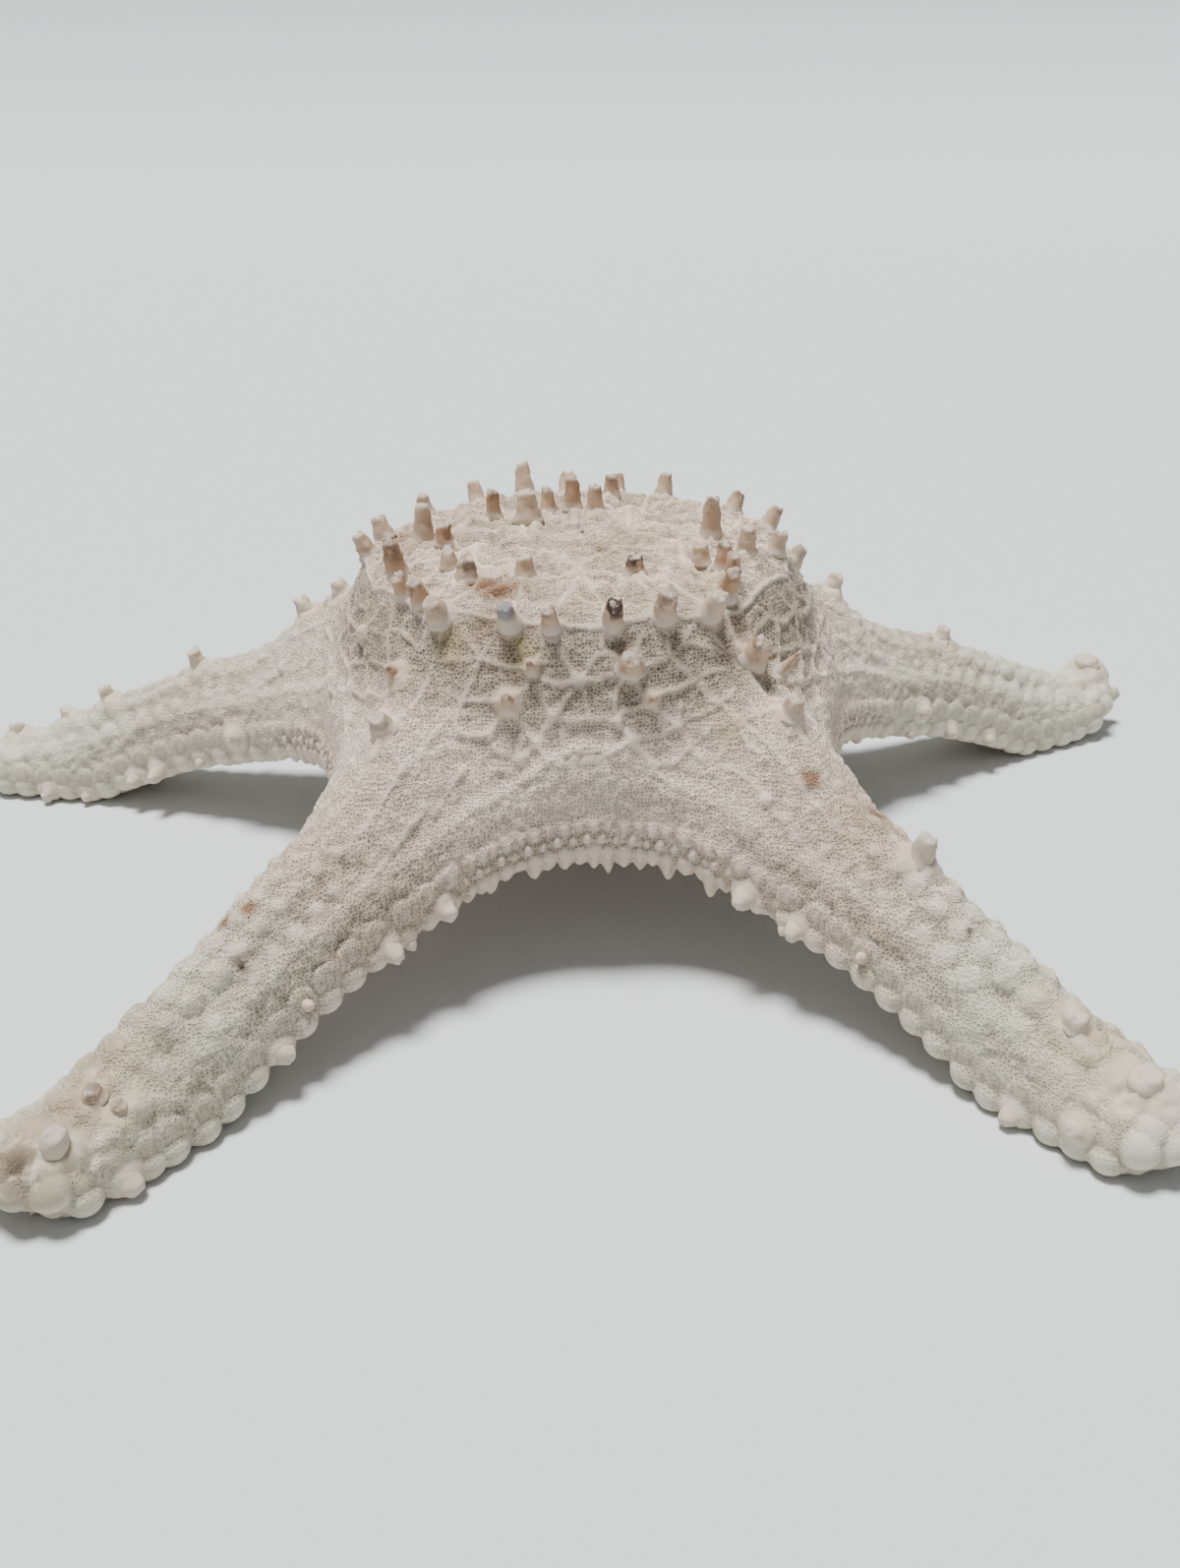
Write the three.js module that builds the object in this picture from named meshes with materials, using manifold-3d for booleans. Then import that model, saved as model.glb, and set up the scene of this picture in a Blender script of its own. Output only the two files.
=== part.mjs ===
// A dried cushion sea star, standing on the tips of its arms. Millimetres, +Z up, the floor at Z = 0.
// Its skeleton is one piece: a high domed disc with a crown of blunt spines, and five arms that arch
// down to the floor. Ridges join the plates of the upper side in a net, two rows of bead-like plates
// edge every arm, and a groove runs along the underside of each arm to the mouth.
// The shape is worked out in the frame of one arm: s runs out from the centre of the disc along the
// arm, y across it, and z up. The five arms differ a little in length, sweep and lift.
import * as THREE from "three";
import { mergeVertices } from "three/addons/utils/BufferGeometryUtils.js";
import Module from "manifold-3d";

const wasm = await Module();
wasm.setup();

// Overall form
const REACH = 150; // centre of the disc to the tip of an arm
const HALF_SECTOR = Math.PI / 5; // an arm's axis to the line midway to the next arm
const NOTCH_RADIUS = 57; // centre of the disc to the edge, midway between two arms
const NOTCH_S = NOTCH_RADIUS * Math.cos(HALF_SECTOR);
const NOTCH_Y = NOTCH_RADIUS * Math.sin(HALF_SECTOR);
const CROWN_RADIUS = 44;
const CENTRE = new THREE.Vector3(4.29, -13.6, 0); // centre of the disc, from the middle of the outer box
const TURN = THREE.MathUtils.degToRad(1.4);

// Heights and widths along an arm: distance from the centre of the disc, then the value there
const CREST = [
  [0, 70.8], [26, 69.4], [43, 67.2], [52, 54.5], [62, 49.4], [75, 39.5], [90, 34], [110, 25.5],
  [130, 16.6], [142, 11.8], [150, 11.8],
];
const WEB = [[0, 70.8], [26, 69.4], [43, 67.2], [50, 56], [57, 34]];
const HALF_WIDTH = [
  [NOTCH_S, NOTCH_Y], [50.2, 27.2], [58, 20.6], [68, 17], [80, 14], [100, 11.7], [120, 11.3], [138, 11],
  [150, 11],
];
const UNDERSIDE = [
  [NOTCH_S, 24], [62, 19.6], [75, 15.4], [90, 11.2], [105, 5.6], [112, 2.6], [118, 0], [150, 0],
];
const BAND_AT_NOTCH = 10.5; // height of the two rows of edge plates together
const BAND_AT_TIP = 8;
const TIP_ROUND = 9; // length over which an arm's end is rounded off
const LIFT_FROM = 128; // an arm lies flat on the floor from 118 to here, then its tip turns up

// Arms: direction of the axis, reach, how far the tip stands to one side of the axis (in a straight
// slant and in a bend), and how far it turns up
const ARMS = [
  { name: "front_right", degrees: -54, reach: 150, slant: 2.4, bend: -0.5, lift: 1.6 },
  { name: "front_left", degrees: -126, reach: 152, slant: -2.4, bend: -5, lift: 2.4 },
  { name: "back_left", degrees: 162, reach: 150, slant: 1.8, bend: 5.6, lift: 1 },
  { name: "back", degrees: 90, reach: 150, slant: 0, bend: 1, lift: 1 },
  { name: "back_right", degrees: 18, reach: 147.5, slant: 2.2, bend: 4.2, lift: 4.4 },
];

// Relief of the skin and of the edge plates
const PLATES_PER_SIDE = 14;
const PLATE_BULGE = 0.9;
const PLATE_JOINT = 0.6; // how far the joint between two plates is drawn in
const LUMP_HEIGHT = 0.9; // plates of the long ridges, standing up from them
const SUNK_SKIN = 0.5; // how far the pored skin lies below the ridges
const NET_DEPTH = 1.2; // the same, between the coarse ridges of the disc
const RIDGE_HALF_WIDTH = 1.8;
const GROOVE_HALF_WIDTH = 3.2;
const GROOVE_DEPTH = 4;
const MOUTH_DEPTH = 7;

// A smooth curve through a table of [distance, value] pairs
function curve(table, x) {
  const last = table.length - 1;
  const at = Math.min(Math.max(x, table[0][0]), table[last][0]);
  let i = 0;
  while (i < last - 1 && at > table[i + 1][0]) i++;
  const slope = (k) => {
    const [a, b] = [table[Math.max(k - 1, 0)], table[Math.min(k + 1, last)]];
    return (b[1] - a[1]) / (b[0] - a[0]);
  };
  const span = table[i + 1][0] - table[i][0];
  const t = (at - table[i][0]) / span;
  return (2 * t ** 3 - 3 * t ** 2 + 1) * table[i][1] + (t ** 3 - 2 * t ** 2 + t) * span * slope(i) +
    (-2 * t ** 3 + 3 * t ** 2) * table[i + 1][1] + (t ** 3 - t ** 2) * span * slope(i + 1);
}

const mix = (a, b, t) => a + (b - a) * t;
const smooth = (from, to, x) => THREE.MathUtils.smoothstep(x, from, to);
const bandHeight = (s) => mix(BAND_AT_NOTCH, BAND_AT_TIP, smooth(60, 140, s));

// Height of the smooth upper surface over the point (s, y) of an arm's sector
function topHeight(s, y) {
  const r = Math.hypot(s, y);
  const turn = Math.abs(Math.atan2(y, s)) / HALF_SECTOR;
  const web = curve(WEB, r);
  const domed = web + (curve(CREST, r) - web) * Math.max(0, 1 - turn ** 2) ** 1.5;
  if (s < CROWN_RADIUS * 0.8) return domed;
  const half = s < NOTCH_S ? s * Math.tan(HALF_SECTOR) : curve(HALF_WIDTH, s);
  const edge = s < NOTCH_S ? curve(WEB, s / Math.cos(HALF_SECTOR))
    : curve(UNDERSIDE, s) + bandHeight(s) * 0.85;
  const across = Math.min(1, Math.abs(y) / half);
  const arched = edge + (curve(CREST, s) - edge) * (1 - across ** 2) ** 1.06;
  return mix(domed, arched, smooth(CROWN_RADIUS, CROWN_RADIUS + 14, r));
}

// The net of ridges in an arm's sector, as segments between plate centres
function polar(radius, degrees) {
  const a = THREE.MathUtils.degToRad(degrees);
  return [radius * Math.cos(a), radius * Math.sin(a)];
}

function ridgeNet() {
  const segments = [];
  const join = (...points) => points.slice(1).forEach((p, i) => segments.push([points[i], p]));
  const both = (...points) => {
    join(...points);
    join(...points.map(([s, y]) => [s, -y]));
  };
  const [inner, middle, outer] = [11, 22, 33];
  join([0, 0], [inner, 0], [middle, 0], [outer, 0], [CROWN_RADIUS, 0]);
  both(polar(inner, 0), polar(middle, 36), polar(outer, 36), polar(CROWN_RADIUS, 36));
  both(polar(middle, 0), polar(middle, 36));
  both(polar(outer, 0), polar(outer, 18), polar(outer, 36));
  both(polar(CROWN_RADIUS, 0), polar(CROWN_RADIUS, 12), polar(CROWN_RADIUS, 24), polar(CROWN_RADIUS, 36));
  both(polar(middle, 0), polar(outer, 18), polar(middle, 36));
  both(polar(outer, 0), polar(CROWN_RADIUS, 12), polar(outer, 18), polar(CROWN_RADIUS, 24), polar(outer, 36));
  // Long ridges down each flank, from the crown to near the tip, and the web between two arms
  both(polar(CROWN_RADIUS, 12), [52, 8.5], [70, 7.4], [95, 6.2]);
  both(polar(CROWN_RADIUS, 24), [50, 17.5], [62, 13.6], [78, 9.8], [95, 8.4]);
  both(polar(CROWN_RADIUS, 24), polar(50, 31), polar(CROWN_RADIUS, 36));
  both(polar(50, 31), polar(54, 36));
  join([CROWN_RADIUS, 0], [105, 0]);
  for (let s = 50; s < 90; s += 8) both([s, 0], [s + 4, 8 - s * 0.02]);
  return segments;
}
const NET = ridgeNet();

function relief(s, y) {
  let nearest = Infinity;
  for (const [[as, ay], [bs, by]] of NET) {
    const [ds, dy] = [bs - as, by - ay];
    const t = THREE.MathUtils.clamp(((s - as) * ds + (y - ay) * dy) / (ds * ds + dy * dy), 0, 1);
    nearest = Math.min(nearest, Math.hypot(s - as - t * ds, y - ay - t * dy));
  }
  const sunk = smooth(0, RIDGE_HALF_WIDTH, nearest) * NET_DEPTH;
  return -sunk * (1 - smooth(85, 115, s));
}

// Puts a point of an arm's own frame in the frame of the whole star
function place(arm, s, y, z) {
  const out = THREE.MathUtils.clamp((s - NOTCH_S) / (REACH - NOTCH_S), 0, 1);
  const along = s + (arm.reach - REACH) * out;
  const across = y + arm.slant * out + arm.bend * out ** 2;
  const angle = THREE.MathUtils.degToRad(arm.degrees) + TURN;
  return [
    CENTRE.x + along * Math.cos(angle) - across * Math.sin(angle),
    CENTRE.y + along * Math.sin(angle) + across * Math.cos(angle),
    z + arm.lift * THREE.MathUtils.clamp((s - LIFT_FROM) / (REACH - LIFT_FROM), 0, 1) ** 2,
  ];
}

// Stations along an arm, two to an edge plate, equally spaced along the outline
function outlineStations() {
  const fine = 400;
  const end = REACH - TIP_ROUND;
  const lengths = [0];
  const at = (k) => NOTCH_S + ((end - NOTCH_S) * k) / fine;
  for (let k = 1; k <= fine; k++) {
    const step = Math.hypot(at(k) - at(k - 1), curve(HALF_WIDTH, at(k)) - curve(HALF_WIDTH, at(k - 1)));
    lengths.push(lengths[k - 1] + step);
  }
  const count = PLATES_PER_SIDE * 2;
  const stations = [];
  for (let n = 0, k = 0; n <= count; n++) {
    while (k < fine && lengths[k] < (lengths[fine] * n) / count - 1e-9) k++;
    stations.push(at(k));
  }
  return stations;
}

// Direction across the outline, outwards, at station s
function outlineNormal(s) {
  if (s <= NOTCH_S + 1e-6) return [Math.cos(HALF_SECTOR), Math.sin(HALF_SECTOR)];
  const slope = (curve(HALF_WIDTH, s + 0.5) - curve(HALF_WIDTH, s - 0.5)) / 1;
  const length = Math.hypot(1, slope);
  return [-slope / length, 1 / length];
}

// One closed section through an arm, from the crest round by +y to the groove and back by -y
function armSection(s, index) {
  const half = curve(HALF_WIDTH, s);
  const bottom = Math.max(0, curve(UNDERSIDE, s));
  const band = bandHeight(s);
  const seam = bottom + band * 0.5;
  const [ns, ny] = outlineNormal(s);
  const swell = index % 2 ? PLATE_BULGE : -PLATE_JOINT;
  const lump = (turn) => (index % 3 === turn ? LUMP_HEIGHT : -LUMP_HEIGHT * 0.4);
  const upon = (y, rise) => [s, y, topHeight(s, y) + rise];
  const beside = (off, z) => [s + ns * off, half + ny * off, z];
  const side = [
    upon(half * 0.3, -SUNK_SKIN),
    upon(half * 0.6, lump(1)),
    beside(-2.6, seam + band * 0.46 + swell * 0.6),
    beside(swell, seam + band * 0.22),
    beside(-1.2, seam),
    beside(swell * 0.9 - 0.8, seam - band * 0.25),
    beside(-3.4, bottom),
    [s, GROOVE_HALF_WIDTH, bottom],
  ];
  const other = side.map(([a, b, c]) => [a, -b, c]).reverse();
  return [upon(0, lump(0)), ...side, [s, 0, bottom + GROOVE_DEPTH], ...other];
}

// A section of the rounded end, drawn in towards the middle of the arm's height
function tipSection(angle) {
  const last = REACH - TIP_ROUND;
  const shrink = Math.cos(angle);
  const middle = curve(UNDERSIDE, last) + bandHeight(last) * 0.6;
  return armSection(last, 0).map(([s, y, z]) => [
    s + TIP_ROUND * Math.sin(angle), y * shrink, middle + (z - middle) * shrink,
  ]);
}

// The shell of the whole star as one closed mesh
class Shell {
  positions = [];
  faces = [];
  row(arm, points) {
    return points.map((p) => this.positions.push(...place(arm, ...p)) / 3 - 1);
  }
  // Triangles between two rows, which may differ in their number of points
  zip(a, b) {
    let [i, j] = [0, 0];
    while (i < a.length - 1 || j < b.length - 1) {
      const nextA = (i + 1) / Math.max(1, a.length - 1);
      const nextB = (j + 1) / Math.max(1, b.length - 1);
      if (i === a.length - 1 || (j < b.length - 1 && nextB <= nextA)) this.faces.push(a[i], b[j], b[++j]);
      else this.faces.push(a[i], b[j], a[++i]);
    }
  }
  geometry() {
    const made = new THREE.BufferGeometry();
    made.setAttribute("position", new THREE.Float32BufferAttribute(this.positions, 3));
    made.setIndex(this.faces);
    return mergeVertices(made, 1e-3);
  }
}

// Rows of the disc's upper side: arcs on the crown that straighten towards the arm's first section
const TOP_ROWS = [[0.25, 2], [0.375, 4], [0.5, 4], [0.625, 8], [0.75, 8], [0.875, 12], [1, 12], [1.3, 12], [1.6, 10]];
const UNDER_ROWS = [[0.2, 4], [0.45, 4], [0.72, 6]];

function topRow(share, count) {
  return Array.from({ length: count + 1 }, (_, i) => {
    const angle = HALF_SECTOR * ((2 * i) / count - 1);
    const r = share <= 1 ? CROWN_RADIUS * share
      : mix(CROWN_RADIUS, NOTCH_S / Math.cos(angle), share - 1);
    const [s, y] = [r * Math.cos(angle), r * Math.sin(angle)];
    return [s, y, topHeight(s, y) + relief(s, y)];
  });
}

function underRow(share, count) {
  const s = NOTCH_S * share;
  const edge = s * Math.tan(HALF_SECTOR);
  const bottom = mix(curve(UNDERSIDE, NOTCH_S) + 2.5, curve(UNDERSIDE, NOTCH_S), share);
  const half = Math.min(GROOVE_HALF_WIDTH, edge * 0.55);
  const side = [[s, edge, bottom], [s, half, bottom]];
  if (count > 4) side.splice(1, 0, [s, edge * 0.6, bottom]);
  const other = side.map(([a, b, c]) => [a, -b, c]).reverse();
  return [...side, [s, 0, bottom + GROOVE_DEPTH], ...other];
}

function starShell() {
  const shell = new Shell();
  const stations = outlineStations();
  for (const arm of ARMS) {
    const loops = stations.map((s, k) => armSection(s, k));
    for (const degrees of [34, 66]) loops.push(tipSection(THREE.MathUtils.degToRad(degrees)));
    const closed = loops.map((points) => {
      const row = shell.row(arm, points);
      return [...row, row[0]];
    });
    for (let k = 1; k < closed.length; k++) shell.zip(closed[k - 1], closed[k]);
    const middle = curve(UNDERSIDE, REACH) + bandHeight(REACH) * 0.6;
    shell.zip(closed.at(-1), shell.row(arm, [[REACH, 0, middle]]));

    // Upper side of the disc, from the centre out to this arm's first section
    const first = closed[0];
    const size = first.length - 1;
    const upper = [...first.slice(size - 3, size), ...first.slice(0, 4)];
    let inner = shell.row(arm, [[0, 0, topHeight(0, 0)]]);
    for (const [share, count] of TOP_ROWS) {
      const outer = shell.row(arm, topRow(share, count));
      shell.zip(inner, outer);
      inner = outer;
    }
    shell.zip(inner, upper);

    // Underside of the disc, from the mouth out
    const lower = first.slice(7, 7 + 5);
    inner = shell.row(arm, [[0, 0, curve(UNDERSIDE, 0) + MOUTH_DEPTH]]);
    for (const [share, count] of UNDER_ROWS) {
      const outer = shell.row(arm, underRow(share, count));
      shell.zip(inner, outer);
      inner = outer;
    }
    shell.zip(inner, lower);
  }
  return shell.geometry();
}

// Spines, per arm: distance out, distance across, length, and radius at the foot
const SPINES = {
  front_right: [
    [25.5, -6, 3.2, 1.7], [29, 8, 3.6, 1.6], [31, 18.5, 5.4, 1.7], [34.5, 9, 5, 1.6], [39, 6.5, 5, 1.5],
    [42.5, 2, 5.4, 1.6], [38, -22, 6, 1.6], [41.5, -12.8, 5.6, 1.9], [44.5, -3.6, 5.2, 1.8],
    [42.8, -22, 3.2, 2.2], [50, 2, 5, 2.2], [51.5, 6.5, 5.4, 1.7], [61.5, 0.5, 3.6, 1.9],
    [93.5, 0, 5.2, 2], [141, -2, 3.8, 2.7],
  ],
  front_left: [
    [29, -11, 3.6, 1.5], [33, -3.4, 3.8, 1.8], [26, 5.4, 4, 1.7], [44.7, -1, 4.8, 2], [42.2, 13.2, 5, 1.5],
    [39.2, 20.2, 4.6, 1.4], [42.5, -7, 4.6, 1.6], [41, -12.5, 4, 1.5], [36, -18, 7.2, 1.8],
    [48, 16.5, 2.8, 2.3], [50.6, -7.6, 3.2, 2], [62, -1, 3.4, 1.9],
    [141, 3, 3.8, 2.6],
  ],
  back_left: [
    [22, -11.3, 5.4, 1.5], [13.4, -8.7, 5.8, 2.3], [31, 7.6, 7.2, 1.8], [25.5, 10, 4, 1.6], [41.5, 3.7, 4.4, 1.7],
    [41, 13.5, 4.6, 1.7], [39, -14.5, 4.2, 1.6], [54.5, 0, 3.4, 1.8], [63, 1, 3.2, 1.7], [91.3, 1, 4.2, 1.7],
    [116, 0.5, 3.8, 1.7], [142, 0, 3, 2],
  ],
  back: [
    [40.5, 10.5, 7, 1.8], [20, 5.5, 4.6, 1.5], [21, 0, 6.8, 1.7], [17.5, -4.7, 5.4, 1.6], [31.4, -9.2, 4.6, 1.6],
    [43.6, 0.5, 5, 1.8], [41.5, -11, 4.4, 1.7], [37.5, 21.5, 4.6, 1.6], [36.5, -21.5, 5, 1.6],
    [53, 0, 4, 1.8], [64, 0.5, 3.2, 1.8], [92, -0.5, 4, 1.8], [117, 0, 3.4, 1.8], [141, 0, 3.4, 2.2],
  ],
  back_right: [
    [26, -9.8, 8, 1.8], [35, -21.5, 4.2, 1.6], [43.8, -1, 4.6, 1.7], [41.6, 11.8, 4.4, 1.7],
    [50.5, 0, 5, 1.8], [62, 0, 3.6, 1.8], [95, 0, 3, 1.8], [141.5, -1, 3.8, 2.3],
  ],
};
const FOOT_DEPTH = 1.5; // how far a spine's foot is sunk in the skin
const SPINE_SIDES = 5;

// Larger beads of the edge: distance out, side of the arm, upper or lower row, length, radius
const EDGE_SPINES = {
  front_right: [[68.6, -1, -1, 3, 2.2], [79, -1, -1, 2.6, 2], [124.7, -1, -1, 2.4, 2]],
  front_left: [[68.6, 1, -1, 2.6, 2], [80.2, 1, -1, 2.8, 2], [104, 1, -1, 2.2, 2]],
  back_left: [[77.2, 1, 1, 2.4, 2.3], [99.4, 1, -1, 3.6, 1.9], [129, 1, -1, 2.4, 1.9]],
  back: [[74, 1, -1, 2.6, 2], [98, -1, -1, 2.8, 2], [127, 1, 1, 2.2, 2]],
  back_right: [[81.4, -1, 1, 2.2, 1.9], [104, -1, -1, 2.2, 1.8], [72, 1, -1, 2.6, 2]],
};

// A blunt tapered spine as a closed mesh, its foot at the given point
function spine(foot, axis, length, radius) {
  const u = new THREE.Vector3(axis.y, -axis.x, 0);
  if (u.length() < 1e-3) u.set(1, 0, 0);
  u.normalize();
  const v = new THREE.Vector3().crossVectors(axis, u);
  const ring = (height, size) => Array.from({ length: SPINE_SIDES }, (_, k) => {
    const a = (2 * Math.PI * k) / SPINE_SIDES;
    return foot.clone().addScaledVector(axis, height)
      .addScaledVector(u, size * Math.cos(a)).addScaledVector(v, size * Math.sin(a));
  });
  const points = [...ring(-FOOT_DEPTH, radius * 1.35), ...ring(length, radius * 0.7)];
  const faces = [];
  for (let a = 0; a < SPINE_SIDES; a++) {
    const b = (a + 1) % SPINE_SIDES;
    faces.push(a, b, b + SPINE_SIDES, a, b + SPINE_SIDES, a + SPINE_SIDES);
  }
  for (let k = 1; k < SPINE_SIDES - 1; k++) {
    faces.push(0, k + 1, k, SPINE_SIDES, SPINE_SIDES + k, SPINE_SIDES + k + 1);
  }
  return [points, faces];
}

// The axis of a spine on the upper side leans from straight out of the skin towards straight up
function upperSpine(arm, [s, y, length, radius]) {
  const at = (ds, dy) => new THREE.Vector3(...place(arm, s + ds, y + dy, topHeight(s + ds, y + dy)));
  const foot = at(0, 0);
  const along = at(2.5, 0).sub(at(-2.5, 0));
  const across = at(0, 2.5).sub(at(0, -2.5));
  const axis = along.cross(across).normalize();
  axis.z += 0.5;
  return spine(foot, axis.normalize(), length, radius);
}

function edgeSpine(arm, [s, side, row, length, radius]) {
  const [ns, ny] = outlineNormal(s);
  const height = Math.max(0, curve(UNDERSIDE, s)) + bandHeight(s) * (row > 0 ? 0.72 : 0.3);
  const foot = new THREE.Vector3(...place(arm, s, side * curve(HALF_WIDTH, s), height));
  const out = new THREE.Vector3(...place(arm, s + ns, side * (curve(HALF_WIDTH, s) + ny), height));
  const axis = out.sub(foot);
  axis.z = row > 0 ? 0.35 : -0.25;
  return spine(foot, axis.normalize(), length, radius);
}

// Solids for joining, made from a mesh's points and triangles
function solid(points, faces) {
  const vertProperties = new Float32Array(points.flatMap((p) => [p.x, p.y, p.z]));
  return new wasm.Manifold(new wasm.Mesh({ numProp: 3, vertProperties, triVerts: new Uint32Array(faces) }));
}

function wholeStar() {
  const shell = starShell();
  const at = shell.getAttribute("position");
  const points = Array.from({ length: at.count }, (_, i) => new THREE.Vector3().fromBufferAttribute(at, i));
  let whole = solid(points, [...shell.getIndex().array]);
  for (const arm of ARMS) {
    for (const given of SPINES[arm.name]) whole = whole.add(solid(...upperSpine(arm, given)));
    for (const given of EDGE_SPINES[arm.name]) whole = whole.add(solid(...edgeSpine(arm, given)));
  }
  const { vertProperties, triVerts } = whole.getMesh();
  const made = new THREE.BufferGeometry();
  made.setAttribute("position", new THREE.Float32BufferAttribute(vertProperties, 3));
  made.setIndex([...triVerts]);
  return made;
}

const star = new THREE.Group();
const skin = new THREE.MeshStandardMaterial({ color: 0xd6cec2, roughness: 0.9, metalness: 0 });
const body = new THREE.Mesh(wholeStar(), skin);
body.name = "starfish";
star.add(body);

export default star;
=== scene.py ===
import bpy
import math
import numpy as np
from mathutils import Matrix, Vector, kdtree, noise


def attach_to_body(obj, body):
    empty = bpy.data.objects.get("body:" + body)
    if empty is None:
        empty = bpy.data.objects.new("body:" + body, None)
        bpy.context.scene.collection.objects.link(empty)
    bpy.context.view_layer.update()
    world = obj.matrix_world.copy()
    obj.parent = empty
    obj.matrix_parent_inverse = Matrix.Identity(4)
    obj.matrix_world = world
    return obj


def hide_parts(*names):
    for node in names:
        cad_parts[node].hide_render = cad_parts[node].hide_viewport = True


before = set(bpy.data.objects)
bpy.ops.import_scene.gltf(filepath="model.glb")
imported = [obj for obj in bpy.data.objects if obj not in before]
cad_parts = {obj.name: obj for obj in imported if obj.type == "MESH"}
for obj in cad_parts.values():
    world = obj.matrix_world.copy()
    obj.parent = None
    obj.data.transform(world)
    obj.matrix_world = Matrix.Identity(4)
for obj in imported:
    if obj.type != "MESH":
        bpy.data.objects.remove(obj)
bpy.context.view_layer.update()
bpy.ops.object.select_all(action="DESELECT")
MM = 0.001

# Camera: a phone held low in front of the gap between the two front arms, looking down at the disc.
# Its lens is a little wide, so the tips of the front arms run out of the picture.
lens = bpy.data.cameras.new("camera")
lens.sensor_width = 36
lens.lens = 32.36
lens.clip_start = 0.01
camera = bpy.data.objects.new("camera", lens)
bpy.context.collection.objects.link(camera)
CAMERA_SPOT, HEADING, DOWNWARD, ROLL = (0.00107, -0.29827, 0.15549), -1.01, 26.78, -1.01
camera.matrix_world = (
    Matrix.Translation(CAMERA_SPOT)
    @ Matrix.Rotation(math.radians(HEADING), 4, "Z")
    @ Matrix.Rotation(math.radians(90 - DOWNWARD), 4, "X")
    @ Matrix.Rotation(math.radians(ROLL), 4, "Z")
)
bpy.context.scene.camera = camera

# The skin: one dried skeleton of lime plates, grown as one piece. A net of smooth ridges joins the
# plates of the upper side, with pored skin sunk between them; two rows of bead-like plates edge the
# arms. It is formed as the whole smooth star first, then its plates, ridges and pits are raised.
REACH = 150.0
HALF_SECTOR = math.pi / 5
NOTCH_RADIUS = 57.0
NOTCH_S = NOTCH_RADIUS * math.cos(HALF_SECTOR)
NOTCH_Y = NOTCH_RADIUS * math.sin(HALF_SECTOR)
CROWN_RADIUS = 44.0
CENTRE_X, CENTRE_Y = 4.29, -13.6
TURN = math.radians(1.4)
CREST = [
    (0, 70.8), (26, 69.4), (43, 67.2), (52, 54.5), (62, 49.4), (75, 39.5), (90, 34), (110, 25.5),
    (130, 16.6), (142, 11.8), (150, 11.8),
]
WEB = [(0, 70.8), (26, 69.4), (43, 67.2), (50, 56), (57, 34)]
HALF_WIDTH = [
    (NOTCH_S, NOTCH_Y), (50.2, 27.2), (58, 20.6), (68, 17), (80, 14), (100, 11.7), (120, 11.3),
    (138, 11), (150, 11),
]
NOTCH_LEVEL = 24
UNDERSIDE = [(NOTCH_S, NOTCH_LEVEL), (62, 19.6), (75, 15.4), (90, 11.2), (105, 5.6), (112, 2.6), (118, 0), (150, 0)]
TIP_ROUND = 9.0
LIFT_FROM = 128.0
MARGIN = 4.0
UNDER_MARGIN = 3.4
GROOVE_HALF_WIDTH = 3.2
GROOVE_DEPTH = 4.0
MOUTH_RADIUS = 7.0
MOUTH_DEPTH = 7.0
BELLY_TOP = 26.5
VOXEL = 0.86
ARMS = {
    "front_right": dict(degrees=-54, reach=150, slant=2.4, bend=-0.5, lift=1.6),
    "front_left": dict(degrees=-126, reach=152, slant=-2.4, bend=-5, lift=2.4),
    "back_left": dict(degrees=162, reach=150, slant=1.8, bend=5.6, lift=1),
    "back": dict(degrees=90, reach=150, slant=0, bend=1, lift=1),
    "back_right": dict(degrees=18, reach=147.5, slant=2.2, bend=4.2, lift=4.4),
}


def curve(table, x):
    """A smooth curve through a table of (distance, value) pairs"""
    xs = np.array([p[0] for p in table], float)
    vs = np.array([p[1] for p in table], float)
    slope = np.empty(len(xs))
    slope[1:-1] = (vs[2:] - vs[:-2]) / (xs[2:] - xs[:-2])
    slope[0] = (vs[1] - vs[0]) / (xs[1] - xs[0])
    slope[-1] = (vs[-1] - vs[-2]) / (xs[-1] - xs[-2])
    x = np.clip(np.asarray(x, float), xs[0], xs[-1])
    i = np.clip(np.searchsorted(xs, x, side="right") - 1, 0, len(xs) - 2)
    span = xs[i + 1] - xs[i]
    t = (x - xs[i]) / span
    return (
        (2 * t**3 - 3 * t**2 + 1) * vs[i] + (t**3 - 2 * t**2 + t) * span * slope[i]
        + (3 * t**2 - 2 * t**3) * vs[i + 1] + (t**3 - t**2) * span * slope[i + 1]
    )


def smooth(low, high, x):
    t = np.clip((np.asarray(x, float) - low) / (high - low), 0, 1)
    return t * t * (3 - 2 * t)


def mix(a, b, t):
    return a + (b - a) * t


def unit(v):
    return v / np.linalg.norm(v)


def wobble(*spot):
    """A smooth random value at a spot, between -1 and 1"""
    return noise.noise(Vector(spot))


def underside(s):
    return np.maximum(0, curve(UNDERSIDE, s))


def belly_level(s):
    """Height of the underside from the mouth to an arm's tip, where one point is asked for"""
    return underside(s) if s > NOTCH_S else mix(BELLY_TOP, NOTCH_LEVEL, s / NOTCH_S)


def band_height(s):
    return mix(10.5, 8.0, smooth(60, 140, s))


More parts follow.
